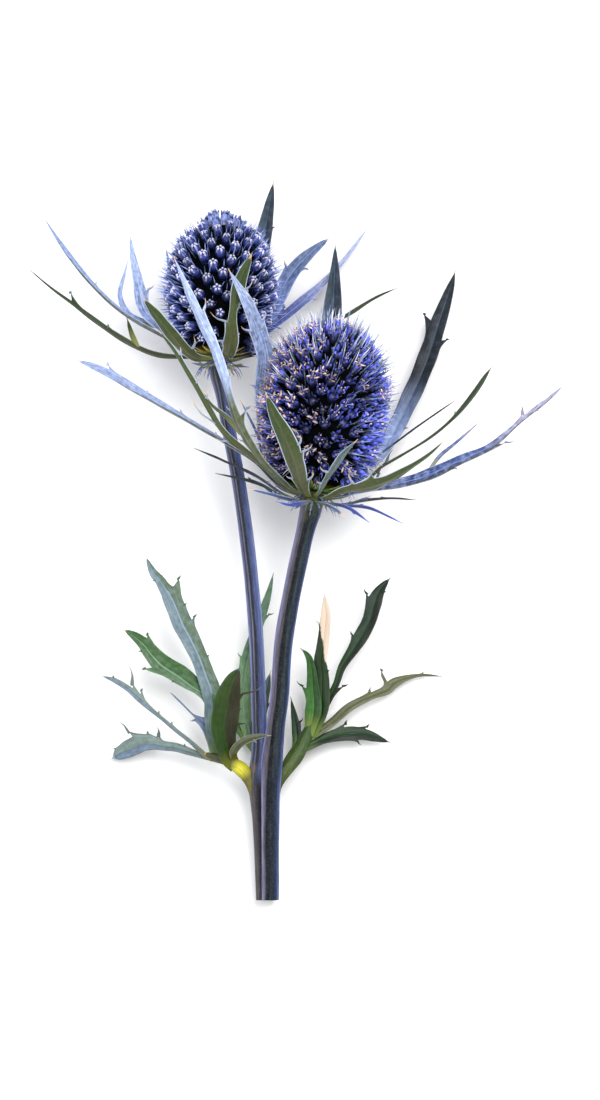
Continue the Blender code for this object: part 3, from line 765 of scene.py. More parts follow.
    OLIVE_GREEN = BladeFinish(
        "olive_green_leaf", 0.42, (38, 68, 20), (50, 72, 30), (84, 92, 52), (74, 82, 50), (50, 70, 26),
        (70, 78, 64), spine=(84, 100, 120), gloss=0.25, other_half=(46, 46, 28), base=(106, 106, 34),
        wax=0.06, streaks=0.3, rib=0.2, edge=0.3, split=(0.1, 0.0))
    OLIVE_GREY = BladeFinish(
        "olive_grey_leaf", 0.42, (80, 86, 56), (90, 96, 72), (84, 92, 52), (74, 82, 50), (104, 110, 84),
        (160, 168, 156), spine=(150, 150, 130), other_half=(62, 68, 40), base=(86, 86, 34), wax=0.08,
        streaks=0.3, rib=0.3, edge=0.7)
    OLIVE_LEAF = BladeFinish(
        "olive_leaf", 0.42, (70, 78, 40), (82, 88, 50), (84, 92, 52), (74, 82, 50), (96, 98, 66),
        (120, 128, 128), spine=(84, 92, 90), other_half=(84, 88, 52), base=(70, 80, 30), wax=0.04,
        streaks=0.3, rib=0.3, edge=0.4)
    GREEN_SHEATH = BladeFinish(
        "green_sheath", 0.42, (76, 90, 36), (44, 76, 28), (80, 94, 40), (60, 80, 34), (98, 112, 50),
        (56, 68, 34), spine=(225, 188, 144), gloss=0.3, base=(34, 42, 50), wax=0.05, streaks=0.45, rib=0.3,
        edge=0.4)
    # The bright yellow on its inner face, from its foot to past its middle, is a painted highlight over the
    # sheath's olive colour.
    SHEATH_WITH_PAINTED_HIGHLIGHT = BladeFinish(
        "sheath_with_painted_highlight", 0.42, (204, 198, 44), (80, 86, 54), (100, 104, 50), (90, 96, 50), (120, 122, 54),
        (64, 60, 50), spine=(225, 188, 144), gloss=0.3, base=(46, 42, 40), base_reach=(7.3, 10.2), wax=0.04,
        turn_at=(0.56, 0.68), rib=0.2, edge=0.4)


@dataclass
class Workshop:
    """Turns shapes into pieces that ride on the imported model, in finishes that are each built once."""

    plant: LaidPlant
    effects: Effects
    made: dict[str, bpy.types.Material] = field(default_factory=dict)

    def material(self, finish: Finish) -> bpy.types.Material:
        """The material of this finish."""
        if finish.name not in self.made:
            self.made[finish.name] = finish.material(self.effects)
        return self.made[finish.name]

    def piece(self, name: str, shape: Shape, finishes: Sequence[Finish], slot: Slot, node: str) -> None:
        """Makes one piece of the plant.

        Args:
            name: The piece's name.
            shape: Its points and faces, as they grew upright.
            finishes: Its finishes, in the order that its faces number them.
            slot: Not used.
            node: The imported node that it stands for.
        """
        mesh = bpy.data.meshes.new(name)
        faces = [*map(tuple, shape.quads.tolist()), *map(tuple, shape.triangles.tolist())]
        mesh.from_pydata(self.plant.place(shape.points).tolist(), [], faces)
        for label, values in shape.values.items():
            places = mesh.attributes.new(label, "FLOAT", "POINT").data
            places.foreach_set("value", values.astype(np.float32))
        for finish in finishes:
            mesh.materials.append(self.material(finish))
        mesh.polygons.foreach_set("material_index", shape.look_of_faces().astype(np.int32))
        mesh.shade_smooth()
        mesh.set_sharp_from_angle(angle=math.radians(SHARP_DEG))
        made = bpy.data.objects.new(name, mesh)
        bpy.context.scene.collection.objects.link(made)
        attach(made, BODY)
        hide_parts(node)
        LOG.info("%s: %d faces", name, len(faces))


@dataclass(frozen=True)
class Tooth:
    """A spine on a blade's edge: how far along, on which side, how long, and how far it spreads."""

    share: float
    side: int
    length: float
    spread_deg: float = 42.0
    flow: float = 2.0
    fleshy: float = 0.35

    def start(self, length: float) -> float:
        """The share of a blade of this length at which its edge starts to swell into the tooth."""
        return self.share - self.flow * self.length / length

    def horn(self, root: Array, ahead: Array, out: Array, face: Array) -> Shape:
        """Draws the slender, curved spine that ends the tooth.

        Args:
            root: Where the blade's edge ends in the tooth.
            ahead: The way to the blade's tip.
            out: The way out from the blade.
            face: The way that the blade's upper face looks.

        Returns:
            The spine, with the value spine at its points.
        """
        spread = math.radians(self.spread_deg)
        reach = self.length * (1 - self.fleshy) * 1.25
        way = out * math.sin(spread) + ahead * math.cos(spread)
        bend = out * math.cos(spread) - ahead * math.sin(spread)
        path = np.array([
            root - way * 0.3 - out * 0.15 - bend * 0.1,
            root + way * reach * 0.12,
            root + way * reach * 0.4 + bend * reach * 0.07,
            root + way * reach * 0.7 + bend * reach * 0.05 + face * reach * 0.04,
            root + way * reach - bend * reach * 0.06 + face * reach * 0.1,
        ])
        thick = min(0.15 + 0.07 * self.length, 0.32)
        shape = tapered(path, (thick * 1.3, thick * 1.2, thick * 0.75, thick * 0.45, 0.02), 0.7)
        shape.values = {"spine": np.clip(shape.values["rise"] * 1.5 - 0.55, 0, 1)}
        return shape


def evenly(*widths: tuple[float, float]) -> Outline:
    """An outline that is as wide to the left as to the right, from (share, half width) pairs."""
    return tuple((share, half, half) for share, half in widths)


@dataclass(frozen=True)
class Blade:
    """A bract or leaf lobe: a folded blade with a midrib, spiny teeth and a needle tip."""

    line: Array
    outline: Outline
    towards: Callable[[Array, float], Array]
    teeth: tuple[Tooth, ...] = ()
    fold_deg: float = 16.0
    thick: float = 0.42
    thin: float = 0.1
    ripple: float = 0.1
    needle: float = 2.2
    phase: float = 0.0
    row_step: float = 0.55
    columns: tuple[float, ...] = (-1, -0.94, -0.78, -0.52, -0.26, -0.08, 0, 0.08, 0.26, 0.52, 0.78, 0.94, 1)

    def rows(self, length: float) -> Array:
        """Spaces the blade's rows of points, closer together at each tooth.

        Args:
            length: The blade's length.

        Returns:
            The rows' places, in shares of the length.
        """
        places = list(np.linspace(0, 1, max(int(length / self.row_step), 8)))
        for tooth in self.teeth:
            places += list(np.linspace(max(tooth.start(length), 0.01), tooth.share, 6))
            places.append(min(tooth.share + 0.14 / length, 0.995))
        places += list(1 - np.array((0.3, 0.7, 1.2, 1.8)) * self.needle / 2.2 / length)
        kept = [0.0]
        firm = {round(tooth.share, 6) for tooth in self.teeth}
        for place in sorted(set(round(float(p), 6) for p in places if p > 0)):
            if place - kept[-1] > 0.08 / length or place in firm:
                kept.append(place)
        return np.array(kept)

    def shape(self) -> Shape:
        """Builds the blade.

        Returns:
            A closed shape with the values along, across, reach, inner and spine at its points.
        """
        steps = np.linalg.norm(np.diff(self.line, axis=0), axis=1)
        length = float(steps.sum())
        travelled = np.concatenate([[0], np.cumsum(steps)]) / length
        shares = self.rows(length)
        middle = np.stack([np.interp(shares, travelled, self.line[:, k]) for k in range(3)], axis=1)
        ahead = unit(np.gradient(middle, shares * length, axis=0))
        face = np.array([self.towards(point, share) for point, share in zip(middle, shares)])
        face = unit(face - ahead * (face * ahead).sum(axis=1, keepdims=True))
        side = np.cross(ahead, face)

        table = np.array(self.outline)
        left, right = (smooth_between(shares, table[:, 0], table[:, k]) for k in (1, 2))
        to_tip = (1 - shares) * length
        slim = np.clip(to_tip / self.needle, 0, 1)
        left, right = (np.maximum(half * slim**0.7, 0.05 + 0.13 * slim) for half in (left, right))
        across = np.array(self.columns)
        half = np.where(across[None, :] < 0, left[:, None], right[:, None])
        out = across[None, :] * half
        forward = np.zeros_like(out)
        for tooth in self.teeth:
            start = tooth.start(length)
            grown = np.clip((shares - start) / (tooth.share - start), 0, 1)
            grown = np.where(shares <= tooth.share + 1e-6, grown, 0)[:, None] ** 2.6
            weight = np.where(across * tooth.side > 0, np.abs(across) ** 3, 0)[None, :]
            spread = math.radians(tooth.spread_deg)
            swell = tooth.length * tooth.fleshy * 1.25
            out = out + tooth.side * swell * math.sin(spread) * grown * weight
            forward = forward + swell * math.cos(spread) * grown * weight

        fold = np.tan(np.radians(self.fold_deg) * np.clip(shares / 0.3, 0, 1))
        waves = np.sin(2 * math.pi * shares[:, None] * length / 9 + self.phase + across[None, :] * 1.2)
        depth = fold[:, None] * np.abs(across) * half + self.ripple * half * across**2 * waves
        sag = np.exp(-((across / 0.11) ** 2))[None, :] * np.minimum(half, 1.2) * 0.1
        body = self.thin + (self.thick - self.thin) * (1 - np.abs(across) ** 2.2)[None, :]
        body = body * (0.3 + 0.7 * np.clip(to_tip / (2 * self.needle), 0, 1))[:, None]
        upper = depth + body / 2 - sag
        lower = depth - body / 2 - sag * 1.3

        def lay(height: Array, chosen: slice) -> Array:
            """Points of these columns at this height over the blade's line."""
            return (middle[:, None, :] + side[:, None, :] * out[:, chosen, None]
                    + ahead[:, None, :] * forward[:, chosen, None]
                    + face[:, None, :] * height[:, chosen, None])

        inside = slice(1, -1)
        edges = lay((upper + lower) / 2, slice(None))
        top, bottom = lay(upper, inside), lay(lower, inside)[:, ::-1]
        rings = np.concatenate([edges[:, :1], top, edges[:, -1:], bottom], axis=1)
        points, quads, triangles = ringed(rings)

        def spread_out(values: Array) -> Array:
            """Values of the rows and columns, laid round the rings."""
            grid = np.broadcast_to(values, out.shape)
            ring = np.concatenate([grid[:, :1], grid[:, inside], grid[:, -1:], grid[:, inside][:, ::-1]], 1)
            return np.concatenate([ring.ravel(), [ring[0].mean(), ring[-1].mean()]])

        rows, columns = len(shares), len(across)
        rim = np.full((rows, 1), 0.6)
        upper_face, lower_face = np.ones((rows, columns - 2)), np.zeros((rows, columns - 2))
        values = {
            "along": spread_out(shares[:, None]),
            "reach": spread_out(shares[:, None] * length),
            "across": spread_out(across[None, :]),
            "inner": np.append(np.concatenate([rim, upper_face, rim, lower_face], axis=1), [0.5, 0.5]),
            "spine": spread_out(np.clip(1.25 - to_tip / (0.8 * self.needle), 0, 1)[:, None]),
        }
        horns = []
        for tooth in self.teeth:
            row = int(np.abs(shares - tooth.share).argmin())
            root = edges[row, -1 if tooth.side > 0 else 0]
            horn = tooth.horn(root, ahead[row], side[row] * tooth.side, face[row])
            horns.append(horn.marked(along=shares[row], reach=shares[row] * length, across=0.9, inner=0.7))
        return joined([Shape(points, quads, triangles, values), *horns])


def smooth_between(at: Array, places: Array, sizes: Array) -> Array:
    """Reads a size between the given ones, without corners.

    Args:
        at: Where to read it.
        places: Where it is given.
        sizes: What is given there.

    Returns:
        The size at each asked place.
    """
    fine = np.linspace(places[0], places[-1], 200)
    rough = np.interp(fine, places, sizes)
    kernel = np.hanning(15) / np.hanning(15).sum()
    padded = np.concatenate([np.full(7, rough[0]), rough, np.full(7, rough[-1])])
    return np.interp(at, fine, np.convolve(padded, kernel, "valid"))


def as_seen(point: Point) -> Point:
    """Moves a point, drawn straight from the front, to where the camera sees it there."""
    x, y, z = point
    grown = 1 + y / VIEWED_FROM[1]
    return (VIEWED_FROM[0] + (x - VIEWED_FROM[0]) * grown, y, VIEWED_FROM[2] + (z - VIEWED_FROM[2]) * grown)


def eased(line: Array) -> Array:
    """The line with its corners rounded off and its two ends kept.

    Args:
        line: The line's points.

    Returns:
        The line with its bends spread out.
    """
    kernel = np.hanning(EASED_OVER + 2)[1:-1]
    kernel /= kernel.sum()
    padded = np.pad(line, ((EASED_OVER // 2, EASED_OVER // 2), (0, 0)), mode="reflect", reflect_type="odd")
    rounded = np.stack([np.convolve(padded[:, k], kernel, "valid") for k in range(3)], axis=1)
    rounded[0], rounded[-1] = line[0], line[-1]
    return rounded


@dataclass(frozen=True)
class BractPlan:
    """The drawing of one long bract, with the way that its inner face looks."""

    name: str
    azimuth: float
    tone: Tone
    faces: Point
    points: tuple[Point, ...]
    widths: Widths
    teeth: tuple[Tooth, ...] = ()
    lobes: tuple[tuple[tuple[Point, ...], float], ...] = ()

    def seen_teeth(self) -> tuple[Tooth, ...]:
        """The teeth, with their sides turned over where the viewer sees the outer face."""
        if self.faces[1] < 0:
            return self.teeth
        return tuple(replace(tooth, side=-tooth.side) for tooth in self.teeth)


@dataclass(frozen=True)
class Spot:
    """A floret's place on its head, the way that it faces, its height as a share, and the painted light and
    shade of its colour.
    """

    place: Array
    facing: Array
    share: float
    glow: float = 1.0

    def sunk(self, depth: float) -> "Spot":
        """The same spot, this much deeper in the head."""
        return Spot(self.place - self.facing * depth, self.facing, self.share, self.glow)


@dataclass
class Head:
    """An egg-shaped flower head: its outline, and where bracts and florets sit on it."""

    node: str
    base: Point
    lean_right: float
    lean_away: float
    radius: float
    height: float
    neck: float
    low_fullness: float
    top_fullness: float
    stalk_top: float

    def __post_init__(self) -> None:
        """Works out which way the head leans."""
        self.turn = np.array(Matrix.Rotation(math.radians(self.lean_right), 3, "Y")
                             @ Matrix.Rotation(-math.radians(self.lean_away), 3, "X"))
        self.axis = self.turn @ np.array((0, 0, 1.0))
        self.middle = np.array(self.base, float)

    def bulge(self, height: float) -> float:
        """The head's radius at this height above its base.

        Args:
            height: The height, in millimetres.

        Returns:
            The radius there.
        """
        share = min(max(height / self.height, 0.0), 1.0)
        middle = 2 * math.sqrt(share * (1 - share))
        fullness = self.low_fullness if share < 0.5 else self.top_fullness
        return max(self.radius * middle**fullness, self.neck if share < 0.5 else 0.0)

    def outline(self, rows: int = 16) -> Array:
        """The (radius, height) points of the head's outline, from its top to the rim of its base."""
        heights = self.height * (1 + np.cos(np.linspace(0, math.pi, rows + 1))) / 2
        return np.array([(self.bulge(height), height) for height in heights])

    def seat(self, azimuth: float, lift: float) -> Array:
        """Where a bract grows out of the stalk. Azimuth 0 is to the right and 90 away."""
        return self.middle + self.outwards(math.radians(azimuth)) * self.stalk_top + self.axis * lift

    def outwards(self, angle: float) -> Array:
        """The way straight out from the head's axis at this angle."""
        return self.turn @ np.array((math.cos(angle), math.sin(angle), 0))

    def kept_clear(self, line: Array, clearance: float) -> Array:
        """Moves points off the head.

        Args:
            line: The points of a bract's middle line.
            clearance: How close they may come to the head.

        Returns:
            The line, with every point that came closer moved straight out.
        """
        corners = np.vstack([self.outline(), (0.0, 0.0)])
        starts, runs = corners[:-1], np.diff(corners, axis=0)
        normals = np.stack([-runs[:, 1], runs[:, 0]], axis=1) / np.linalg.norm(runs, axis=1)[:, None]
        moved = []
        for point in line:
            up = float((point - self.middle) @ self.axis)
            out = point - self.middle - self.axis * up
            reach = float(np.linalg.norm(out))
            place = np.array((reach, up))
            shares = ((place - starts) * runs).sum(axis=1) / (runs**2).sum(axis=1)
            nearest = starts + runs * np.clip(shares, 0, 1)[:, None]
            distances = np.linalg.norm(place - nearest, axis=1)
            closest = int(distances.argmin())
            inside = ((place - starts) * normals).sum(axis=1).max() < 0
            if inside or distances[closest] < clearance:
                off = normals[closest] if inside else (place - nearest[closest]) / distances[closest]
                new_reach, new_up = nearest[closest] + off * clearance
                point = self.middle + out / max(reach, 1e-6) * new_reach + self.axis * new_up
            moved.append(point)
        return np.array(moved)

    def face_towards(self, point: Array) -> Array:
        """Where a bract's upper face looks at this point: inwards and upwards."""
        up = float((point - self.middle) @ self.axis)
        inwards = self.middle + self.axis * up - point
        return inwards / max(float(np.linalg.norm(inwards)), 1e-6) + self.axis

    def spots(self, count: int, lowest: float, highest: float,
              glow: Callable[[Array, float], float]) -> list[Spot]:
        """Spreads places over the head in the spirals that florets grow in.

        Args:
            count: How many places.
            lowest: The lowest one's height, as a share of the head's.
            highest: The highest one's.
            glow: How much painted light and shade a floret's colour gets, from the way that it faces and
                its height share.

        Returns:
            The places.
        """
        shares = np.linspace(lowest, highest, 400)
        radii = np.array([self.bulge(share * self.height) for share in shares])
        heights = shares * self.height
        slant = np.hypot(np.diff(radii), np.diff(heights))
        area = np.concatenate([[0], np.cumsum(slant * (radii[1:] + radii[:-1]) / 2)])
        found = []
        for number in range(count):
            share = float(np.interp((number + 0.5) / count * area[-1], area, shares))
            low, high = max(share - 0.01, 0.0) * self.height, min(share + 0.01, 1.0) * self.height
            lean = (self.bulge(low) - self.bulge(high)) / (high - low)
            angle = number * math.pi * (3 - math.sqrt(5))
            out = np.array((math.cos(angle), math.sin(angle), 0))
            place = out * self.bulge(share * self.height) + np.array((0, 0, share * self.height))
            facing = self.turn @ unit(out + np.array((0, 0, lean)))
            found.append(Spot(self.middle + self.turn @ place, facing, share, glow(facing, share)))
        return found


FRONT_HEAD = Head("front_flower_head", FRONT_HEAD_BASE, 7.6, 5.0, 13.6, 37.8, 3.0, 0.55, 0.85,
                  FRONT_TOP_RADIUS)
BACK_HEAD = Head("back_flower_head", BACK_HEAD_BASE, 1.5, 6.0, 10.9, 31.0, 2.4, 0.62, 1.15, BACK_TOP_RADIUS)

FRONT_BRACTS = (
    BractPlan(
        "left_long", 171, Tone.SILVER_OLIVE, (0.1, -1, 0.45),
        ((1.8, -1, 93.3), (-5.4, -1.6, 98.4), (-15.2, -2, 104.2), (-27.3, -2.5, 111.3), (-36, -2.9, 116.4),
         (-42.4, -3.5, 118.9)),
        ((0, 0.6), (0.2, 0.45), (0.5, 0.62), (0.7, 0.95), (0.84, 1.1), (0.93, 0.8), (1, 0.05)),
        (Tooth(0.86, 1, 1.8, 40, 1.2, 0.7), Tooth(0.55, 1, 0.9, 40), Tooth(0.4, 1, 0.5),
         Tooth(0.7, 1, 0.4))),
    BractPlan(
        "left_olive", 198, Tone.OLIVE, (0.35, 1, 0.3),
        ((4, -3, 92.4), (-4.6, -4.5, 98.6), (-9.7, -6, 103), (-13.4, -7.5, 109.2), (-16.8, -8.8, 115),
         (-20.7, -10.3, 121.4), (-24.2, -12, 125.6)),
        ((0, 0.6), (0.2, 0.7), (0.4, 0.75), (0.6, 0.72), (0.8, 0.55), (0.92, 0.4), (1, 0.04)),
        (Tooth(0.84, 1, 1.7, 30), Tooth(0.62, 1, 1.2, 30), Tooth(0.7, 1, 1, 25),
         Tooth(0.5, -1, 7, 12, 0.3, 0.06), Tooth(0.4, -1, 2.6, 30)),
        ((((-5.8, -6.4, 102.5), (-8.6, -7, 106), (-12.2, -7.6, 109), (-14.4, -8, 112.4)), 0.6),)),
    BractPlan(
        "left_sweeping", 226, Tone.OLIVE_TO_SILVER, (0.5, 0.85, 0.1),
        ((4.2, -5, 92), (-0.1, -6.5, 95.2), (-3.9, -8, 100.5), (-6.6, -8.8, 105.4), (-8.7, -9.2, 112.2),
         (-11.4, -9.2, 121), (-16, -8.6, 130.6), (-20.5, -7.5, 141.5)),
        ((0, 0.6), (0.12, 0.9), (0.22, 0.8), (0.36, 1.25), (0.44, 0.85), (0.6, 1.3), (0.74, 1.35),
         (0.86, 0.95), (0.94, 0.5), (1, 0.04)),
        (Tooth(0.39, 1, 3, 62, 0.9, 0.75), Tooth(0.77, 1, 2.9, 34, 1.6, 0.3), Tooth(0.53, 1, 1.2, 50),
         Tooth(0.3, -1, 1.6, 30), Tooth(0.42, -1, 1.2, 25))),
    BractPlan(
        "front_broad", 254, Tone.OLIVE, (0.1, 1, 0.2),
        ((7.6, -9, 91.6), (6.4, -15, 95.5), (4.2, -20.5, 101.5), (1.4, -24.5, 107), (-0.3, -27, 111.7)),
        ((0, 0.6), (0.15, 1.2), (0.35, 1.9), (0.55, 2.15), (0.75, 1.7), (0.9, 0.9), (1, 0.06)),
        (Tooth(0.5, 1, 2.6, 62, 1.2, 0.25), Tooth(0.56, 1, 2.2, 22, 1, 0.2),
         Tooth(0.2, 1, 3.6, 26, 0.7, 0.4), Tooth(0.26, -1, 1.6, 40))),
    BractPlan(
        "front_short", 281, Tone.BLUE_OLIVE, (-0.4, 1, 0.4),
        ((12.2, -8, 91.2), (14.4, -14, 94.4), (16.8, -18, 98), (20, -21, 101.4)),
        ((0, 0.5), (0.25, 0.55), (0.6, 0.9), (0.8, 0.75), (1, 0.04)),
        (Tooth(0.5, -1, 2.6, 50, 1, 0.2), Tooth(0.3, -1, 1.2, 60))),
    BractPlan(
        "right_olive", 309, Tone.OLIVE, (-0.3, 0.9, 0.6),
        ((16.5, -7, 90), (22.5, -11, 91), (27, -14.5, 92.6), (32.2, -18, 95.6), (36.4, -19.5, 98.6),
         (39.3, -20.5, 101.4)),
        ((0, 0.6), (0.25, 1.2), (0.42, 1.9), (0.55, 1.35), (0.7, 0.85), (0.85, 0.5), (1, 0.04)),
        (Tooth(0.46, -1, 2.8, 70, 1, 0.6), Tooth(0.6, 1, 1), Tooth(0.3, -1, 2.6, 80, 0.8, 0.2))),
    BractPlan(
        "right_great", 337, Tone.BLUE_TO_VIOLET, (-0.15, -1, 0.45),
        ((20, -2.5, 90.2), (29.3, -4.5, 91.6), (36.2, -6, 93.6), (43.5, -8, 97.2), (49, -9, 99.4),
         (56, -10, 105.6), (62.4, -11, 110.5), (65.6, -11.5, 113.6)),
        ((0, 0.6), (0.22, 1.1), (0.4, 1.5), (0.5, 1.35), (0.6, 0.95), (0.68, 0.8), (0.76, 0.55),
         (0.88, 0.6), (0.95, 0.4), (1, 0.04)),
        (Tooth(0.67, 1, 3.6, 22, 1.4, 0.5), Tooth(0.8, -1, 2.6, 40, 1, 0.3), Tooth(0.5, 1, 0.8),
         Tooth(0.86, 1, 0.5)),
        ((((35.2, -5.6, 93.8), (38, -4.6, 97.6), (41.7, -3.6, 100.7), (47.1, -2, 105.5)), 0.5),)),
    BractPlan(
        "right_slim_olive", 4, Tone.DARK_OLIVE, (-0.3, 0.8, 0.6),
        ((19, 1.2, 92), (25.7, 2.2, 95.6), (31, 3, 98.6), (38, 4, 103.2), (44.3, 5, 109.6),
         (49.7, 6, 117.7)),
        ((0, 0.5), (0.3, 0.4), (0.5, 0.32), (0.68, 0.45), (0.84, 0.85), (0.93, 0.6), (1, 0.04)),
        (Tooth(0.33, -1, 3, 35, 0.8, 0.2), Tooth(0.3, 1, 3.4, 140, 0.8, 0.3), Tooth(0.72, -1, 0.5, 30))),
    BractPlan(
        "right_thread", 31, Tone.SLATE, (-0.3, -0.6, 0.8),
        ((18.5, 5, 92.6), (23, 6.8, 96.6), (27.5, 7, 100), (34, 8, 104.8), (41.3, 9.5, 109.8)),
        ((0, 0.5), (0.4, 0.28), (0.7, 0.25), (1, 0.04))),
    BractPlan(
        "right_tall", 59, Tone.SLATE, (-0.35, -1, 0.1),
        ((18, 9, 92.8), (24.4, 12, 97.4), (28.4, 13.2, 103.7), (32, 14.8, 111.1), (35.2, 17, 118.5),
         (37.8, 19.8, 126.9), (40.1, 22.8, 133.6), (41.5, 25.63, 138.6)),
        ((0, 0.62), (0.2, 1.1), (0.32, 1.7), (0.5, 2.15), (0.62, 2.25), (0.72, 2.2), (0.8, 1.8),
         (0.86, 1.6), (0.93, 0.9), (1, 0.04)),
        (Tooth(0.79, -1, 2.3, 50, 2, 0.95), Tooth(0.73, 1, 1.4, 60, 1.8, 0.9), Tooth(0.42, 1, 0.7, 50),
         Tooth(0.34, -1, 1.4, 35))),
    BractPlan(
        "rear_tall", 87, Tone.SLATE_TEAL, (0.05, -1, 0),
        ((10.8, 11, 92.4), (11.6, 16, 97), (12.8, 18.8, 105), (13.6, 19.4, 116), (14.3, 19.2, 128.5),
         (14.9, 19.4, 137.6), (15, 20, 144.6)),
        ((0, 0.62), (0.2, 1.8), (0.5, 2.3), (0.68, 2.4), (0.8, 2), (0.9, 1.1), (1, 0.04)),
        (Tooth(0.68, 1, 3.8, 62, 0.8, 0.4), Tooth(0.745, 1, 0.8, 35))),
    BractPlan(
        "rear_left", 115, Tone.SILVER, (0.15, -1, 0.1),
        ((4.5, 9, 92.6), (1.2, 10.6, 97), (-0.6, 10.2, 103), (-0.2, 8.4, 110), (0.5, 5.2, 116),
         (-1.5, 0.4, 123.6), (-3.9, -6, 130.5), (-6.2, -9, 134.8), (-8.6, -10.6, 139)),
        ((0, 0.6), (0.3, 1.6), (0.5, 2.1), (0.62, 1.9), (0.72, 1.95), (0.79, 1.5), (0.88, 1.25),
         (0.94, 0.6), (1, 0.04)),
        (Tooth(0.75, 1, 2.4, 25, 1.4, 0.35), Tooth(0.74, -1, 2.8, 30, 1.2, 0.25), Tooth(0.63, -1, 0.8, 50),
         Tooth(0.56, 1, 0.8, 50), Tooth(0.5, -1, 1.2, 60))),
    BractPlan(
        "left_thread", 143, Tone.STEEL, (0.3, -1, 0.3),
        ((3.5, 3.2, 92), (0.2, 5, 96.5), (-2.4, 5, 103), (-5.9, 3.4, 110)),
        ((0, 0.5), (0.4, 0.45), (0.8, 0.3), (1, 0.04)),
        (Tooth(0.55, 1, 1.2), Tooth(0.4, -1, 1.2))),
)
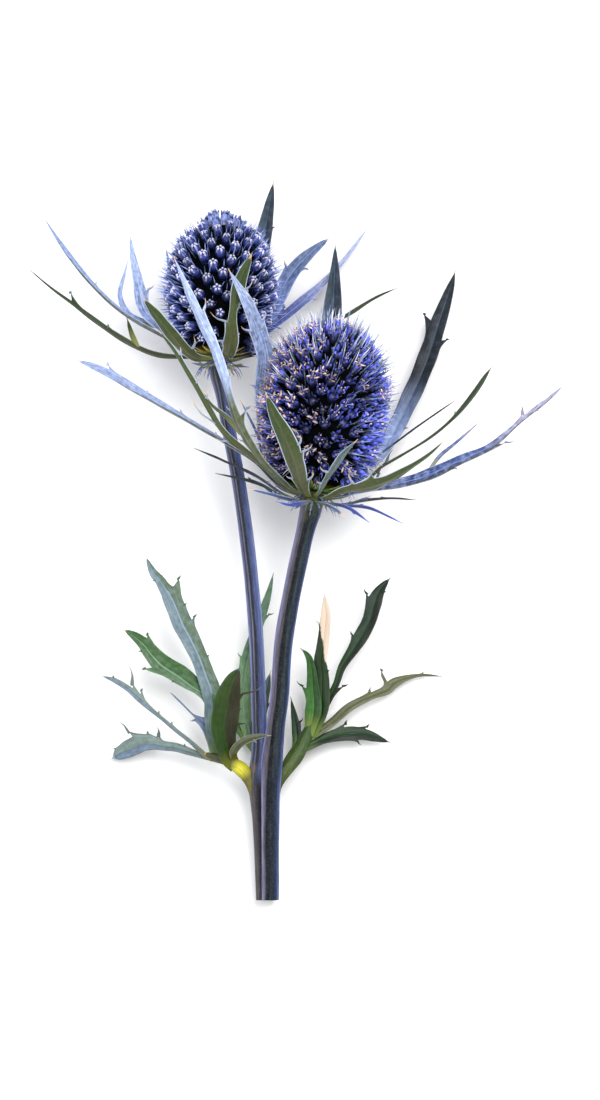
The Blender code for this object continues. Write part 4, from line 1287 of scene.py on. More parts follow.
BACK_BRACTS = (
    BractPlan(
        "left_pale", 194, Tone.SILVER_OLIVE, (0.2, -1, 0.4),
        ((-18, 6.8, 121.6), (-24.4, 8, 124.8), (-31.4, 10, 128.9), (-38.2, 14.5, 135.1),
         (-44.6, 21.6, 143.2), (-49, 27.6, 150)),
        ((0, 0.48), (0.3, 0.5), (0.55, 0.62), (0.75, 0.7), (0.88, 0.45), (1, 0.04)),
        (Tooth(0.58, 1, 0.8, 35),)),
    BractPlan(
        "left_olive", 220, Tone.DARK_OLIVE, (0.2, 0.9, 0.6),
        ((-18.2, 3.6, 119.4), (-23.6, 3, 119.7), (-28.6, 2.6, 121.5), (-35.6, 2.6, 125.8),
         (-42.8, 3.2, 131.2), (-47, 3.8, 134.2), (-52.3, 4.5, 138.7)),
        ((0, 0.48), (0.25, 0.7), (0.5, 0.75), (0.68, 0.62), (0.78, 0.4), (0.9, 0.25), (1, 0.04)),
        (Tooth(0.74, 1, 1.9, 48, 1.8, 1), Tooth(0.53, 1, 0.7, 40)),
        ((((-28.3, 2.7, 121.4), (-29.6, 1.6, 124), (-31, 0.5, 128.6)), 0.7),)),
    BractPlan(
        "left_forked", 168, Tone.SILVER, (0.4, -1, 0.1),
        ((-17.5, 10, 121.8), (-23, 12, 126), (-27.2, 14, 130), (-28.4, 15.2, 136), (-29.6, 16.6, 141.5),
         (-30.2, 18, 146.8)),
        ((0, 0.48), (0.3, 1.2), (0.5, 1.7), (0.64, 1.6), (0.76, 1.1), (0.9, 0.65), (1, 0.04)),
        (Tooth(0.64, 1, 2, 55, 1.6, 0.4),),
        ((((-24, 13.2, 126.2), (-30, 14.6, 128.4), (-32.4, 15.2, 132.8), (-31.4, 15.8, 137.6),
           (-30.4, 16.6, 141.5)), 0.85),)),
    BractPlan(
        "front_left", 250, Tone.OLIVE, (0.2, 1, 0.1),
        ((-15.5, 0.5, 119.2), (-19.5, -4, 122.6), (-23.8, -8, 128), (-27.6, -11, 132.8)),
        ((0, 0.48), (0.3, 1.2), (0.55, 1.5), (0.8, 1.15), (1, 0.05)),
        (Tooth(0.3, 1, 2.6, 45, 1, 0.25),)),
    BractPlan(
        "front_right", 290, Tone.OLIVE, (0, 1, 0.1),
        ((-8.6, -1.2, 119.8), (-7.8, -4.2, 123.6), (-7.5, -6, 129.2), (-5.8, -7.4, 136.4),
         (-3.2, -9.4, 142.4)),
        ((0, 0.48), (0.18, 1.4), (0.32, 1.75), (0.48, 1), (0.56, 0.85), (0.72, 1.6), (0.86, 1.1),
         (0.94, 0.6), (1, 0.04)),
        (Tooth(0.46, -1, 3.6, 62, 1.4, 0.15), Tooth(0.3, -1, 2.2, 85, 1, 0.15),
         Tooth(0.7, 1, 2.6, 22, 1.2, 0.2), Tooth(0.6, 1, 0.8, 50))),
    BractPlan(
        "right_low", 344, Tone.DARK_OLIVE, (0, 0.8, 0.6),
        ((-6.2, 6, 119.2), (-1.5, 9.4, 120.2), (5, 13.4, 122.2), (12, 15.4, 125.6), (18.7, 17.6, 129.2),
         (23.6, 19.2, 132.4), (28.8, 20.5, 134.7)),
        ((0, 0.48), (0.4, 0.6), (0.6, 0.45), (0.75, 0.55), (0.9, 0.35), (1, 0.04)),
        (Tooth(0.6, 1, 1.2), Tooth(0.45, -1, 1))),
    BractPlan(
        "right_long", 16, Tone.VIOLET, (-0.2, -1, 0.25),
        ((-4.5, 9.4, 121.2), (-0.4, 12, 125), (5.7, 17, 129.8), (12.3, 22.2, 135.6), (17.2, 24, 141),
         (22.4, 26, 148.2)),
        ((0, 0.48), (0.2, 0.9), (0.45, 1.3), (0.58, 1.1), (0.7, 0.65), (0.85, 0.5), (0.93, 0.3), (1, 0.04)),
        (Tooth(0.4, -1, 3.2, 40), Tooth(0.55, 1, 1.2), Tooth(0.3, 1, 1.2))),
    BractPlan(
        "right_broad", 48, Tone.SLATE_BLUE, (-0.2, -1, 0.1),
        ((-5.5, 12.6, 121.6), (-1, 14.4, 127), (2.2, 14.6, 131.6), (4.4, 14.8, 136.4), (8.3, 15, 141.2),
         (14.2, 16, 146)),
        ((0, 0.48), (0.25, 1.5), (0.5, 1.8), (0.66, 1.8), (0.8, 1.45), (0.92, 0.8), (1, 0.04)),
        (Tooth(0.7, -1, 1.6, 45), Tooth(0.76, 1, 1, 60, 1.4, 0.6), Tooth(0.45, 1, 2, 40),
         Tooth(0.56, -1, 0.8))),
    BractPlan(
        "rear_tall", 80, Tone.SLATE_TEAL, (0, -1, 0),
        ((-7.5, 16, 122.4), (-4, 19.6, 129.6), (-2, 20.6, 139), (0, 21.4, 150), (1.5, 22, 158.4)),
        ((0, 0.48), (0.3, 1.6), (0.6, 1.85), (0.76, 1.75), (0.9, 1), (1, 0.04)),
        (Tooth(0.58, 1, 1.8, 60, 1, 0.3), Tooth(0.78, 1, 0.6))),
    BractPlan(
        "rear_middle", 112, Tone.STEEL, (0, -1, 0),
        ((-12.4, 16.6, 122.6), (-13.2, 20, 130), (-13.4, 21.6, 140), (-13, 22.6, 147)),
        ((0, 0.48), (0.4, 1.3), (0.7, 1), (1, 0.04)),
        (Tooth(0.6, 1, 1.8), Tooth(0.75, -1, 1.6))),
    BractPlan(
        "rear_left", 141, Tone.STEEL, (0.2, -1, 0),
        ((-17, 15, 122.2), (-19.6, 18.4, 129), (-21, 20.6, 137), (-22.4, 22.6, 144)),
        ((0, 0.48), (0.4, 1.2), (0.7, 0.9), (1, 0.04)),
        (Tooth(0.6, -1, 1.8), Tooth(0.75, 1, 1.6))),
)
FRONT_SHORT_BRACTS = (
    (183, Tone.SLATE, ((3, -0.8, 89.6), (-2, -0.6, 93), (-9.5, -0.6, 96.6), (-16, -0.4, 99.4))),
    (208, Tone.SLATE, ((3.5, -3.4, 88.5), (-0.8, -4.6, 91), (-5.8, -5.2, 92.6), (-11.3, -5.8, 93.8))),
    (232, Tone.STEEL, ((5.6, -5.6, 87.8), (0.5, -8, 89.2), (-4, -9, 90.3))),
    (260, Tone.INDIGO, ((8.6, -6, 87.2), (5, -8.4, 86.8), (2, -9.5, 87.6))),
    (290, Tone.STEEL, ((12.6, -6, 87), (15, -8, 85.8), (17, -9, 84.3))),
    (316, Tone.INDIGO, ((15, -4.8, 87), (18, -6.4, 86), (22.5, -8.4, 83))),
    (341, Tone.INDIGO, ((17, -2.2, 86.8), (22.9, -3.4, 86), (29.9, -4.6, 82.8))),
    (7, Tone.SLATE, ((16.6, 0.6, 86.9), (21, 0.8, 87.8), (27, 1, 88.4), (33, 1, 88))),
    (35, Tone.STEEL, ((15.2, 4.4, 86.9), (19, 7.2, 87.4), (23, 9.6, 89))),
    (68, Tone.STEEL, ((12.6, 6.6, 88), (14, 10.6, 88.6), (15.4, 13.6, 90))),
    (105, Tone.STEEL, ((9, 7, 88.2), (8, 11, 88.8), (7, 14, 90.4))),
    (145, Tone.STEEL, ((5, 4.4, 88.4), (1.6, 7, 89.2), (-1, 9, 91))),
)
BACK_SHORT_BRACTS = (
    (212, Tone.INDIGO, ((-14.6, 3.6, 117.8), (-16.6, 2.2, 118.2))),
    (245, Tone.STEEL, ((-12.4, 2, 117.4), (-13.6, 0, 116.4))),
    (275, Tone.INDIGO, ((-10.4, 1.6, 117), (-9.6, -0.2, 115.2))),
    (305, Tone.STEEL, ((-8.4, 2.6, 117.2), (-6.8, 1, 115.6))),
    (10, Tone.INDIGO, ((-6.6, 6.6, 117.6), (-4, 7, 117.4))),
    (90, Tone.STEEL, ((-10.4, 10.4, 118), (-10.2, 13, 118.6))),
)
SHORT_WIDTHS = evenly((0, 0.5), (0.35, 0.85), (0.6, 0.78), (0.85, 0.42), (1, 0.04))
SHORT_TEETH = (Tooth(0.45, 1, 1.1), Tooth(0.62, -1, 1), Tooth(0.3, -1, 0.8))


@dataclass
class Ruff:
    """The two whorls of spiny bracts below a head."""

    head: Head
    side: str
    slot: Slot
    long_bracts: tuple[BractPlan, ...]
    short_bracts: tuple[tuple[float, Tone, tuple[Point, ...]], ...]
    fold_deg: float = 14.0

    def long_shape(self, plan: BractPlan, number: int) -> Shape:
        """Draws one long bract.

        Args:
            plan: Its drawing.
            number: Its place in the whorl, which sets how its edges ripple.

        Returns:
            The bract with its side lobes.
        """
        seat = self.head.seat(plan.azimuth, UPPER_WHORL_LIFT)
        clearance = HEAD_CLEARANCE + max(half for _, half in plan.widths) * 0.24
        clear = self.head.kept_clear(smooth_line([seat, *map(as_seen, plan.points)], 60), clearance)
        line = smooth_line(eased(clear), 120)
        line[0] = seat
        wanted = unit(np.array(plan.faces, float))

        def towards(point: Array, share: float) -> Array:
            """Towards the head at the bract's foot, and its own way further on."""
            turned_over = min(max(share / 0.22, 0.0), 1.0)
            return unit(self.head.face_towards(point)) * (1 - turned_over) + wanted * turned_over

        parts = [Blade(line, evenly(*plan.widths), towards, plan.seen_teeth(), self.fold_deg,
                       phase=number * 1.7).shape()]
        for points, half in plan.lobes:
            outline = evenly((0, half * 0.8), (0.3, half), (0.7, half * 0.6), (1, 0.04))
            lobe = smooth_line(list(map(as_seen, points)), 40)
            parts.append(Blade(lobe, outline, lambda *_: wanted, fold_deg=8, thick=0.3).shape())
        return joined(parts)

    def short_shape(self, azimuth: float, points: tuple[Point, ...]) -> Shape:
        """Draws one short bract.

        Args:
            azimuth: Where it grows from the stalk.
            points: The points that it runs through.

        Returns:
            The bract.
        """
        line = smooth_line([self.head.seat(azimuth, LOWER_WHORL_LIFT), *points], 60)
        return Blade(line, SHORT_WIDTHS, lambda point, _: self.head.face_towards(point), SHORT_TEETH,
                     thick=0.34, needle=1.8, row_step=0.4).shape()

    def build(self, shop: Workshop) -> None:
        """Makes every bract of the ruff.

        Args:
            shop: Makes the pieces.
        """
        for number, plan in enumerate(self.long_bracts):
            name = f"{self.side}_bract_{plan.name}"
            shop.piece(f"{name}_blade", self.long_shape(plan, number), [plan.tone.value], self.slot, name)
        for number, (azimuth, tone, points) in enumerate(self.short_bracts, 1):
            name = f"{self.side}_short_bract_{number:02d}"
            shop.piece(f"{name}_blade", self.short_shape(azimuth, points), [tone.value], self.slot, name)


def turned(profile: Sequence[tuple[float, float]], sides: int) -> Shape:
    """A small turned part.

    Args:
        profile: Radius and height, from the base to the tip.
        sides: How many faces go round it.

    Returns:
        The closed part, with its rise from 0 to 1.
    """
    angles = np.linspace(0, 2 * math.pi, sides, endpoint=False)
    rings = np.array([[(radius * math.cos(a), radius * math.sin(a), height) for a in angles]
                      for radius, height in profile])
    points, quads, triangles = ringed(rings)
    low, high = profile[0][1], profile[-1][1]
    return Shape(points, quads, triangles, {"rise": (points[:, 2] - low) / (high - low)})


def tapered(path: Array, widths: Sequence[float], flatness: float = 1.0, sides: int = 6) -> Shape:
    """A thin part that runs along a path, such as a filament, sepal or spine.

    Args:
        path: The points that it runs through.
        widths: Its radius at each point.
        flatness: How much thinner it is than wide.
        sides: How many faces go round it.

    Returns:
        The closed part, with its rise from 0 to 1.
    """
    ahead = unit(np.gradient(path, axis=0))
    side = unit(np.cross(ahead, np.array((0.02, 0.03, 1.0))))
    up = np.cross(ahead, side)
    angles = np.linspace(0, 2 * math.pi, sides, endpoint=False)
    rings = np.array([[path[i] + side[i] * math.cos(a) * widths[i]
                       + up[i] * math.sin(a) * widths[i] * flatness for a in angles]
                      for i in range(len(path))])
    points, quads, triangles = ringed(rings)
    rise = np.concatenate([np.repeat(np.linspace(0, 1, len(path)), sides), [0, 1]])
    return Shape(points, quads, triangles, {"rise": rise})


def whorl(path: Callable[[float], Sequence[Point]], widths: Sequence[float], count: int, first: float = 0.0,
          flatness: float = 1.0, sides: int = 6) -> Shape:
    """Draws thin parts that stand evenly round a floret's axis.

    Args:
        path: The points of one part, which points along +X, for a seed from 0 to 1.
        widths: Its radius at each point.
        count: How many parts.
        first: The first one's angle, in radians.
        flatness: How much thinner a part is than wide.
        sides: How many faces go round a part.

    Returns:
        All the parts.
    """
    parts = []
    for number in range(count):
        turn = np.array(Matrix.Rotation(first + 2 * math.pi * number / count, 3, "Z"))
        part = tapered(np.array(path((number * 0.618) % 1)), widths, flatness, sides)
        part.points = part.points @ turn.T
        parts.append(part)
    return joined(parts)


@dataclass(frozen=True)
class Stamp:
    """One floret part's drawing, repeated over a head or, where on_top is set, over its very top."""

    shape: Shape
    size: Callable[[Spot], float]
    lift: Callable[[Spot], float]
    keep: Callable[[Spot], float] = lambda spot: 1.0
    stray_deg: float = 5.0
    on_top: bool = False

    def over(self, spots: Sequence[Spot], up: Array, rng: np.random.Generator) -> Shape:
        """Sets the part on every spot.

        Args:
            spots: Where to set it.
            up: The way that the head points.
            rng: The source of the small differences.

        Returns:
            All copies in one shape, each with its own tint and painted light.
        """
        chosen = []
        for spot in spots:
            roll, tint, stay = rng.uniform(0, 2 * math.pi), rng.uniform(), rng.uniform()
            lean = rng.normal(0, math.radians(self.stray_deg), 3)
            if stay > self.keep(spot):
                continue
            axis = unit(spot.facing + up * self.lift(spot) + lean)
            side = unit(np.cross(axis, up + np.array((0.01, 0.02, 0.0))))
            basis = np.stack([side, np.cross(axis, side), axis], axis=1)
            turn = basis @ np.array(Matrix.Rotation(roll, 3, "Z"))
            points = self.shape.points @ turn.T * (self.size(spot) * (0.93 + 0.14 * tint)) + spot.place
            copy = replace(self.shape, points=points, values=dict(self.shape.values))
            chosen.append(copy.marked(tint=tint, glow=spot.glow))
        return joined(chosen)


@dataclass
class FloretHead:
    """What both heads have: floret parts over a core, a collar of scales and a fringe of spikes."""

    head: Head
    side: str
    slot: Slot
    seed: int
    florets: int
    heights: tuple[float, float]
    sunk: float
    core_sunk: float
    scales: int
    scale_reach: float
    spikes: int
    spike_reach: tuple[float, float]
    droop: float
    core_finish: FloretFinish
    scale_finish: FloretFinish
    spike_finish: FloretFinish
    crest_from: float = 2.0
    crest_sunk: float = 0.0

    def core(self) -> Shape:
        """The body that the florets stand on, green at its foot and near black above, as painted shade in
        the gaps between the florets.

        Returns:
            The body.
        """
        profile = [(max(radius - self.core_sunk, 0.05), height * 0.965)
                   for radius, height in self.head.outline(24)[-2::-1]]
        shape = turned([(self.head.neck * 0.9, 0.0), *profile], 44)
        shape.points = shape.points @ self.head.turn.T + self.head.middle
        return shape.marked(tint=1, glow=1)

    def scale(self, out: Array, rng: np.random.Generator) -> Shape:
        """Draws one small, broad scale of the collar between the florets and the bracts.

        Args:
            out: The way out from the stalk.
            rng: The source of the small differences.

        Returns:
            The scale.
        """
        rise, up = rng.uniform(0.2, 1.2), self.head.axis
        start = self.head.middle + out * (self.head.stalk_top - 0.4) + up * rise * 0.3
        path = (start, start + out * self.scale_reach * 0.5 + up * (rise * 0.4 - 0.2),
                start + out * self.scale_reach + up * (rise + 0.3))
        return tapered(smooth_line(path, 6), (0.55, 0.7, 0.62, 0.45, 0.25, 0.04), 0.35)

    def spike(self, out: Array, rng: np.random.Generator) -> Shape:
        """Draws one small, stiff spike of the fringe that hangs out below the bracts.

        Args:
            out: The way out from the stalk.
            rng: The source of the small differences.

        Returns:
            The spike.
        """
        length, up = rng.uniform(*self.spike_reach), self.head.axis
        start = self.head.middle + out * (self.head.stalk_top - 0.5) - up * rng.uniform(0.7, 2.6)
        path = [start + (out * far * length - up * down * self.droop * length)
                for far, down in ((0, 0), (0.4, 0.1), (0.8, 0.45), (1, 0.9))]
        return tapered(smooth_line(path, 7), (0.3, 0.34, 0.32, 0.26, 0.18, 0.1, 0.02), 0.45)

    @staticmethod
    def ring(part: Callable[[float], Shape], count: int, jitter: float, rng: np.random.Generator) -> Shape:
        """Sets parts round the stalk.

        Args:
            part: Draws a part for an angle round the stalk.
            count: How many parts.
            jitter: How far a part may stray, as a share of its room.
            rng: The source of the small differences.

        Returns:
            The parts, each with its own tint.
        """
        parts = []
        for number in range(count):
            made = part(2 * math.pi * (number + rng.uniform(-jitter, jitter)) / count)
            parts.append(made.marked(tint=rng.uniform(), glow=1))
        return joined(parts)

    def build(self, shop: Workshop) -> None:
        """Makes the head's pieces.

        Args:
            shop: Makes the pieces.
        """
        rng = np.random.default_rng(self.seed)
        axis, outwards = self.head.axis, self.head.outwards
        spots = [spot.sunk(self.sunk) for spot in self.head.spots(self.florets, *self.heights, self.glow)]
        crest = [spot.sunk(self.crest_sunk) for spot in spots if spot.share >= self.crest_from]
        spots = [spot for spot in spots if spot.share < self.crest_from]
        made = []
        state = rng.bit_generator.state
        for name, stamp, finish in self.parts():
            if not stamp.on_top:
                rng.bit_generator.state = state
            made.append((name, stamp.over(crest if stamp.on_top else spots, axis, rng), finish))
        made += [
            ("core", self.core(), self.core_finish),
            ("collar", self.ring(lambda angle: self.scale(outwards(angle), rng), self.scales, 0.3, rng),
             self.scale_finish),
            ("fringe", self.ring(lambda angle: self.spike(outwards(angle), rng), self.spikes, 0.4, rng),
             self.spike_finish),
        ]
        for name, shape, finish in made:
            shop.piece(f"{self.side}_head_{name}", shape, [finish], self.slot, self.head.node)


@dataclass
class ClosedHead(FloretHead):
    """The back head: closed florets in neat spirals, each an indigo urn under a pale five-pointed crown."""

    side: str = "back"
    slot: Slot = Slot.CLOSED_FLORETS
    seed: int = 41
    florets: int = 184
    heights: tuple[float, float] = (0.045, 0.9995)
    sunk: float = 1.3
    core_sunk: float = 1.0
    scales: int = 20
    scale_reach: float = 5.2
    spikes: int = 17
    spike_reach: tuple[float, float] = (2.6, 4.8)
    droop: float = 1.0
    # The core's near-black colour above its green foot is painted shade that fills the gaps between the
    # florets.
    core_finish: FloretFinish = FloretFinish(
        "painted_shade_core", 0.9, (116, 118, 34), (1, 2, 3), (14, 20, 12), rise=(0.012, 0.05), gloss=0.05)
    scale_finish: FloretFinish = FloretFinish(
        "collar_scale", 0.5, (150, 156, 40), (206, 170, 96), (120, 130, 50), flecks=0.6)
    spike_finish: FloretFinish = FloretFinish(
        "fringe_spike", 0.45, (96, 112, 168), (52, 62, 130), (176, 188, 232), flecks=0.5)
    crest_from: float = 0.89
    crest_sunk: float = 1.4
    bud_radius: float = 1.1
    bud_height: float = 2.7

    @staticmethod
    def glow(facing: Array, share: float) -> float:
        """How much painted light a floret's colour gets that faces this way at this height share: full
        colour at the left and right rims and near the top, painted shade across the middle.
        """
        return min(0.35 + 0.9 * abs(facing[0]) ** 2 + 0.35 * max(share - 0.6, 0.0), 1.0)

    @staticmethod
    def size(spot: Spot) -> float:
        """The size of a floret's parts, largest below the middle."""
        return 0.84 + 0.2 * math.sin(math.pi * min(spot.share * 1.1, 1))

    @staticmethod
    def rim(spot: Spot) -> float:
        """How likely a floret is to have its spines, which show best at the head's rim."""
        return 1.0 if abs(spot.facing[0]) > 0.5 or spot.facing[1] > 0 else 0.7

    def bud(self) -> Shape:
        """The urn-shaped bud, sunk a little into the head."""
        r, h = self.bud_radius, self.bud_height
        return turned([(0.3 * r, -1.5), (0.62 * r, -0.6), (0.92 * r, 0.25 * h), (r, 0.5 * h),
                       (0.94 * r, 0.72 * h), (0.74 * r, 0.9 * h), (0.4 * r, 0.99 * h)], 12)

    def crown(self) -> Shape:
        """Five pale petal tips that bend in over the bud.

        Returns:
            The petal tips.
        """
        r, h = self.bud_radius, self.bud_height
        return whorl(lambda seed: ((0.84 * r, 0, 0.74 * h), (0.74 * r, 0, 0.94 * h),
                                   (0.52 * r, 0, 1.08 * h), (0.28 * r, 0, 1.1 * h + 0.1 * seed)),
                     (0.17, 0.23, 0.24, 0.12), 5, 0, 0.8)

    def sepals(self) -> Shape:
        """Narrow, spiny sepals that stand round the crown.

        Returns:
            The sepals.
        """
        r, h = self.bud_radius, self.bud_height
        return whorl(lambda seed: ((0.9 * r, 0, 0.6 * h), (1.05 * r, 0, 0.95 * h), (1.2 * r, 0, 1.2 * h),
                                   (1.5 * r + 0.3 * seed, 0, 1.5 * h + 0.5 * seed)),
                     (0.17, 0.16, 0.11, 0.02), 4, 0.63, 0.5, 5)

    @staticmethod
    def bractlet() -> Shape:
        """The stiff blue spine below a floret."""
        path = np.array([(0.9, 0, -1.0), (1.3, 0, 0.8), (1.55, 0, 2.8), (1.75, 0, 5.2)])
        return tapered(path, (0.2, 0.18, 0.12, 0.02), 0.6, 5)

    @staticmethod
    def top_tube() -> Shape:
        """One of the young florets that stand at the very top: a tube that opens into three lobes.

        Returns:
            The floret.
        """
        tube = turned([(0.7, -1.4), (1.0, 0.2), (0.96, 1.4), (0.7, 2.6), (0.74, 3.3), (0.5, 3.2)], 10)
        flaps = whorl(lambda seed: ((0.46, 0, 2.6), (0.58, 0, 3.2), (0.72, 0, 3.7),
                                    (0.88, 0, 4.0 + 0.2 * seed)), (0.3, 0.42, 0.4, 0.16), 3, 0, 0.4)
        return joined([tube, flaps])

    def parts(self) -> list[tuple[str, Stamp, FloretFinish]]:
        """Each floret part's name, its stamp and its finish.

        Returns:
            The parts, in the order that they are made.
        """
        size, lift = self.size, lambda spot: 0.26 + 0.5 * spot.share
        return [
            # The buds' near-black lower half is painted shade between the florets.
            ("buds", Stamp(self.bud(), size, lift), FloretFinish(
                "indigo_bud", 0.38, (1, 2, 6), (36, 50, 122), (74, 96, 180), flecks=0.3, rise=(0.5, 0.95),
                uneven=0.9, painted_shade_level=0.5, gloss=0.35)),
            ("crowns", Stamp(self.crown(), size, lift), FloretFinish(
                "pale_crown", 0.5, (60, 70, 150), (206, 208, 238), (244, 238, 244), flecks=0.6,
                rise=(0.3, 0.8), uneven=0.4, painted_shade_level=0.6)),
            ("sepals", Stamp(self.sepals(), size, lift, self.rim), FloretFinish(
                "blue_sepal", 0.45, (22, 30, 80), (132, 156, 232), (196, 208, 244), flecks=0.4,
                rise=(0.2, 0.9), painted_shade_level=0.75)),
            # The spines' near-black foot is painted shade among the florets.
            ("bractlets", Stamp(self.bractlet(), lambda spot: 1.02 - 0.2 * spot.share,
                                lambda spot: 0.12 + 0.6 * spot.share, self.rim, 7), FloretFinish(
                "bractlet_spine", 0.4, (8, 14, 24), (112, 138, 206), (176, 192, 234), flecks=0.35,
                rise=(0.35, 0.95), painted_shade_level=0.6)),
            ("top_tubes", Stamp(self.top_tube(), lambda spot: 1.02, lambda spot: 1.6, stray_deg=6,
                                on_top=True), FloretFinish(
                "young_tube", 0.42, (18, 26, 40), (104, 122, 198), (190, 202, 240), flecks=0.35,
                rise=(0.45, 1.0))),
        ]


@dataclass
class OpenHead(FloretHead):
    """The front head: open florets with violet petals, pale-tipped filaments and cream anthers."""

    side: str = "front"
    slot: Slot = Slot.OPEN_FLORETS
    seed: int = 73
    florets: int = 300
    heights: tuple[float, float] = (0.03, 0.9998)
    sunk: float = 3.1
    core_sunk: float = 1.9
    scales: int = 30
    scale_reach: float = 6.8
    spikes: int = 20
    spike_reach: tuple[float, float] = (2.6, 5.6)
    droop: float = 0.8
    # The core's near-black colour above its green foot is painted shade that fills the gaps between the
    # florets.
    core_finish: FloretFinish = FloretFinish(
        "open_painted_shade_core", 0.9, (96, 100, 30), (1, 1, 2), (12, 16, 10), rise=(0.012, 0.04), gloss=0.05)
    scale_finish: FloretFinish = FloretFinish(
        "open_collar_scale", 0.5, (104, 156, 36), (140, 160, 66), (70, 96, 40), flecks=0.6)
    spike_finish: FloretFinish = FloretFinish(
        "open_fringe_spike", 0.45, (96, 112, 150), (48, 58, 110), (190, 200, 236), flecks=0.5)
    cup_radius: float = 0.98
    cup_height: float = 2.4

    @staticmethod
    def glow(facing: Array, share: float) -> float:
        """How much painted light a floret's colour gets that faces this way at this height share: painted
        shade in the lower middle of the head and on its left side.
        """
        dark = math.exp(-((facing[0] + 0.1) / 0.45) ** 2 - max((share - 0.4) / 0.24, 0.0) ** 2)
        return max(1.0 - 0.9 * dark - 0.45 * max(-facing[0], 0.0) ** 0.7 * (1.2 - share), 0.08)

    @staticmethod
    def size(spot: Spot) -> float:
        """The size of a floret's parts, largest at the middle and a little uneven."""
        crowding = 0.5 + 0.5 * math.sin(spot.place[0] * 7.3 + spot.place[2] * 11.1)
        return 0.78 + 0.16 * math.sin(math.pi * min(spot.share * 1.05, 1)) + 0.16 * crowding

    @staticmethod
    def cream(spot: Spot) -> float:
        """How likely a floret is to have its anthers, which crowd on the left."""
        left = max(-spot.facing[0], 0.0)
        return min(0.05 + 1.1 * left**0.7 + 0.25 * spot.glow * (1 - left), 1.0)

    @staticmethod
    def crest(spot: Spot) -> float:
        """How likely a floret is to have a pale needle, as at the top and on the left."""
        return min(max((spot.share - 0.6) / 0.2, 0.0), 1.0) + (0.3 if spot.facing[0] < -0.3 else 0.0)

    @staticmethod
    def dotted(spot: Spot) -> float:
        """How likely a floret is to have its pale dots, fewer on the right."""
        return 0.85 - 0.55 * max(spot.facing[0], 0.0) + 0.3 * max(-spot.facing[0], 0.0)

    def cup(self) -> Shape:
        """The floret's body."""
        r, h = self.cup_radius, self.cup_height
        return turned([(0.3 * r, -1.8), (0.7 * r, -0.6), (0.98 * r, 0.35 * h), (r, 0.7 * h),
                       (0.8 * r, 0.95 * h), (0.3 * r, 1.0 * h)], 9)

    def petals(self) -> Shape:
        """Five petals with tips that bend in.

        Returns:
            The petals.
        """
        r, h = self.cup_radius, self.cup_height
        return whorl(lambda seed: ((0.7 * r, 0, 0.6 * h), (1.02 * r, 0, 0.98 * h),
                                   (1.12 * r, 0, (1.24 + 0.1 * seed) * h),
                                   ((0.75 + 0.6 * seed) * r, 0, (1.42 + 0.26 * seed) * h)),
                     (0.26, 0.46, 0.36, 0.08), 5, 0, 0.5)

    def sepals(self) -> Shape:
        """Stiff, pointed sepals."""
        r, h = self.cup_radius, self.cup_height
        return whorl(lambda seed: ((0.9 * r, 0, 0.7 * h), (1.15 * r, 0, 1.1 * h),
                                   (1.5 * r + 0.3 * seed, 0, 1.6 * h)), (0.17, 0.13, 0.02), 4, 0.63, 0.5, 4)

    def styles(self) -> Shape:
        """Two long, pale styles that part like a fork."""
        h = self.cup_height
        return whorl(lambda seed: ((0.1, 0, h), (0.25, 0.1, 1.6 * h), (0.7 + 0.4 * seed, 0.2, 2.25 * h)),
                     (0.14, 0.13, 0.03), 2, 1.1, sides=5)

    def tip(self, seed: float) -> Sequence[Point]:
        """The path of one dot, further out and higher up for a larger seed."""
        out, high = (0.3 + 0.9 * seed) * self.cup_radius, (1.36 + 0.5 * seed) * self.cup_height
        return (out, 0, high - 0.3), (out, 0, high), (out, 0, high + 0.26)

    def tips(self) -> Shape:
        """The pale, pinkish dots of the filaments and petal tips."""
        return whorl(self.tip, (0.07, 0.2, 0.08), 4, 0.5, sides=5)

    def filament(self, seed: float) -> Sequence[Point]:
        """The path of one filament, which ends further out and higher up for a larger seed."""
        h = self.cup_height
        end = (0.85 + 0.5 * seed, 0.2 * seed, 1.62 * h + 0.4 * seed)
        return (0.3, 0, 0.95 * h), (0.55, 0.1, 1.35 * h), end

    def anther(self, seed: float) -> Sequence[Point]:
        """The path of one anther, which lies across its filament's end.

        Args:
            seed: From 0 to 1.

        Returns:
            The path's points.
        """
        end = np.array(self.filament(seed)[-1])
        swing = seed * 2 * math.pi
        half = np.array((math.cos(swing) * 0.5, math.sin(swing) * 0.5, 0.3 * math.sin(3 * swing)))
        return end - half, end - half * 0.6, end, end + half * 0.6, end + half

    def anthers(self) -> Shape:
        """Cream anthers, long grains on thin filaments."""
        return joined([whorl(self.anther, (0.06, 0.18, 0.21, 0.17, 0.05), 3, 0.3, 0.75),
                       whorl(self.filament, (0.06, 0.06, 0.05), 3, 0.3, sides=4)])

    @staticmethod
    def bractlet() -> Shape:
        """The stiff spine below a floret, green below and pale blue towards its tip."""
        path = np.array([(0.95, 0, -1.2), (1.3, 0, 1.0), (1.5, 0, 3.2), (1.7, 0, 6.0)])
        return tapered(path, (0.3, 0.27, 0.17, 0.02), 0.6, 5)

    @staticmethod
    def needle() -> Shape:
        """A whitish spine that stands among the florets near the top."""
        path = np.array([(0.5, 0, 1.2), (0.62, 0, 2.8), (0.7, 0.1, 4.4), (0.9, 0.2, 6.2)])
        return tapered(path, (0.2, 0.19, 0.14, 0.02), 0.8, 5)

    def parts(self) -> list[tuple[str, Stamp, FloretFinish]]:
        """Each floret part's name, its stamp and its finish.

        Returns:
            The parts, in the order that they are made.
        """
        stray = 9

        def stamp(shape: Shape, keep: Callable[[Spot], float] = lambda spot: 1.0) -> Stamp:
            """A part that is as large and leans as far as its floret."""
            return Stamp(shape, self.size, lambda spot: 0.15 + 0.4 * spot.share, keep, stray)

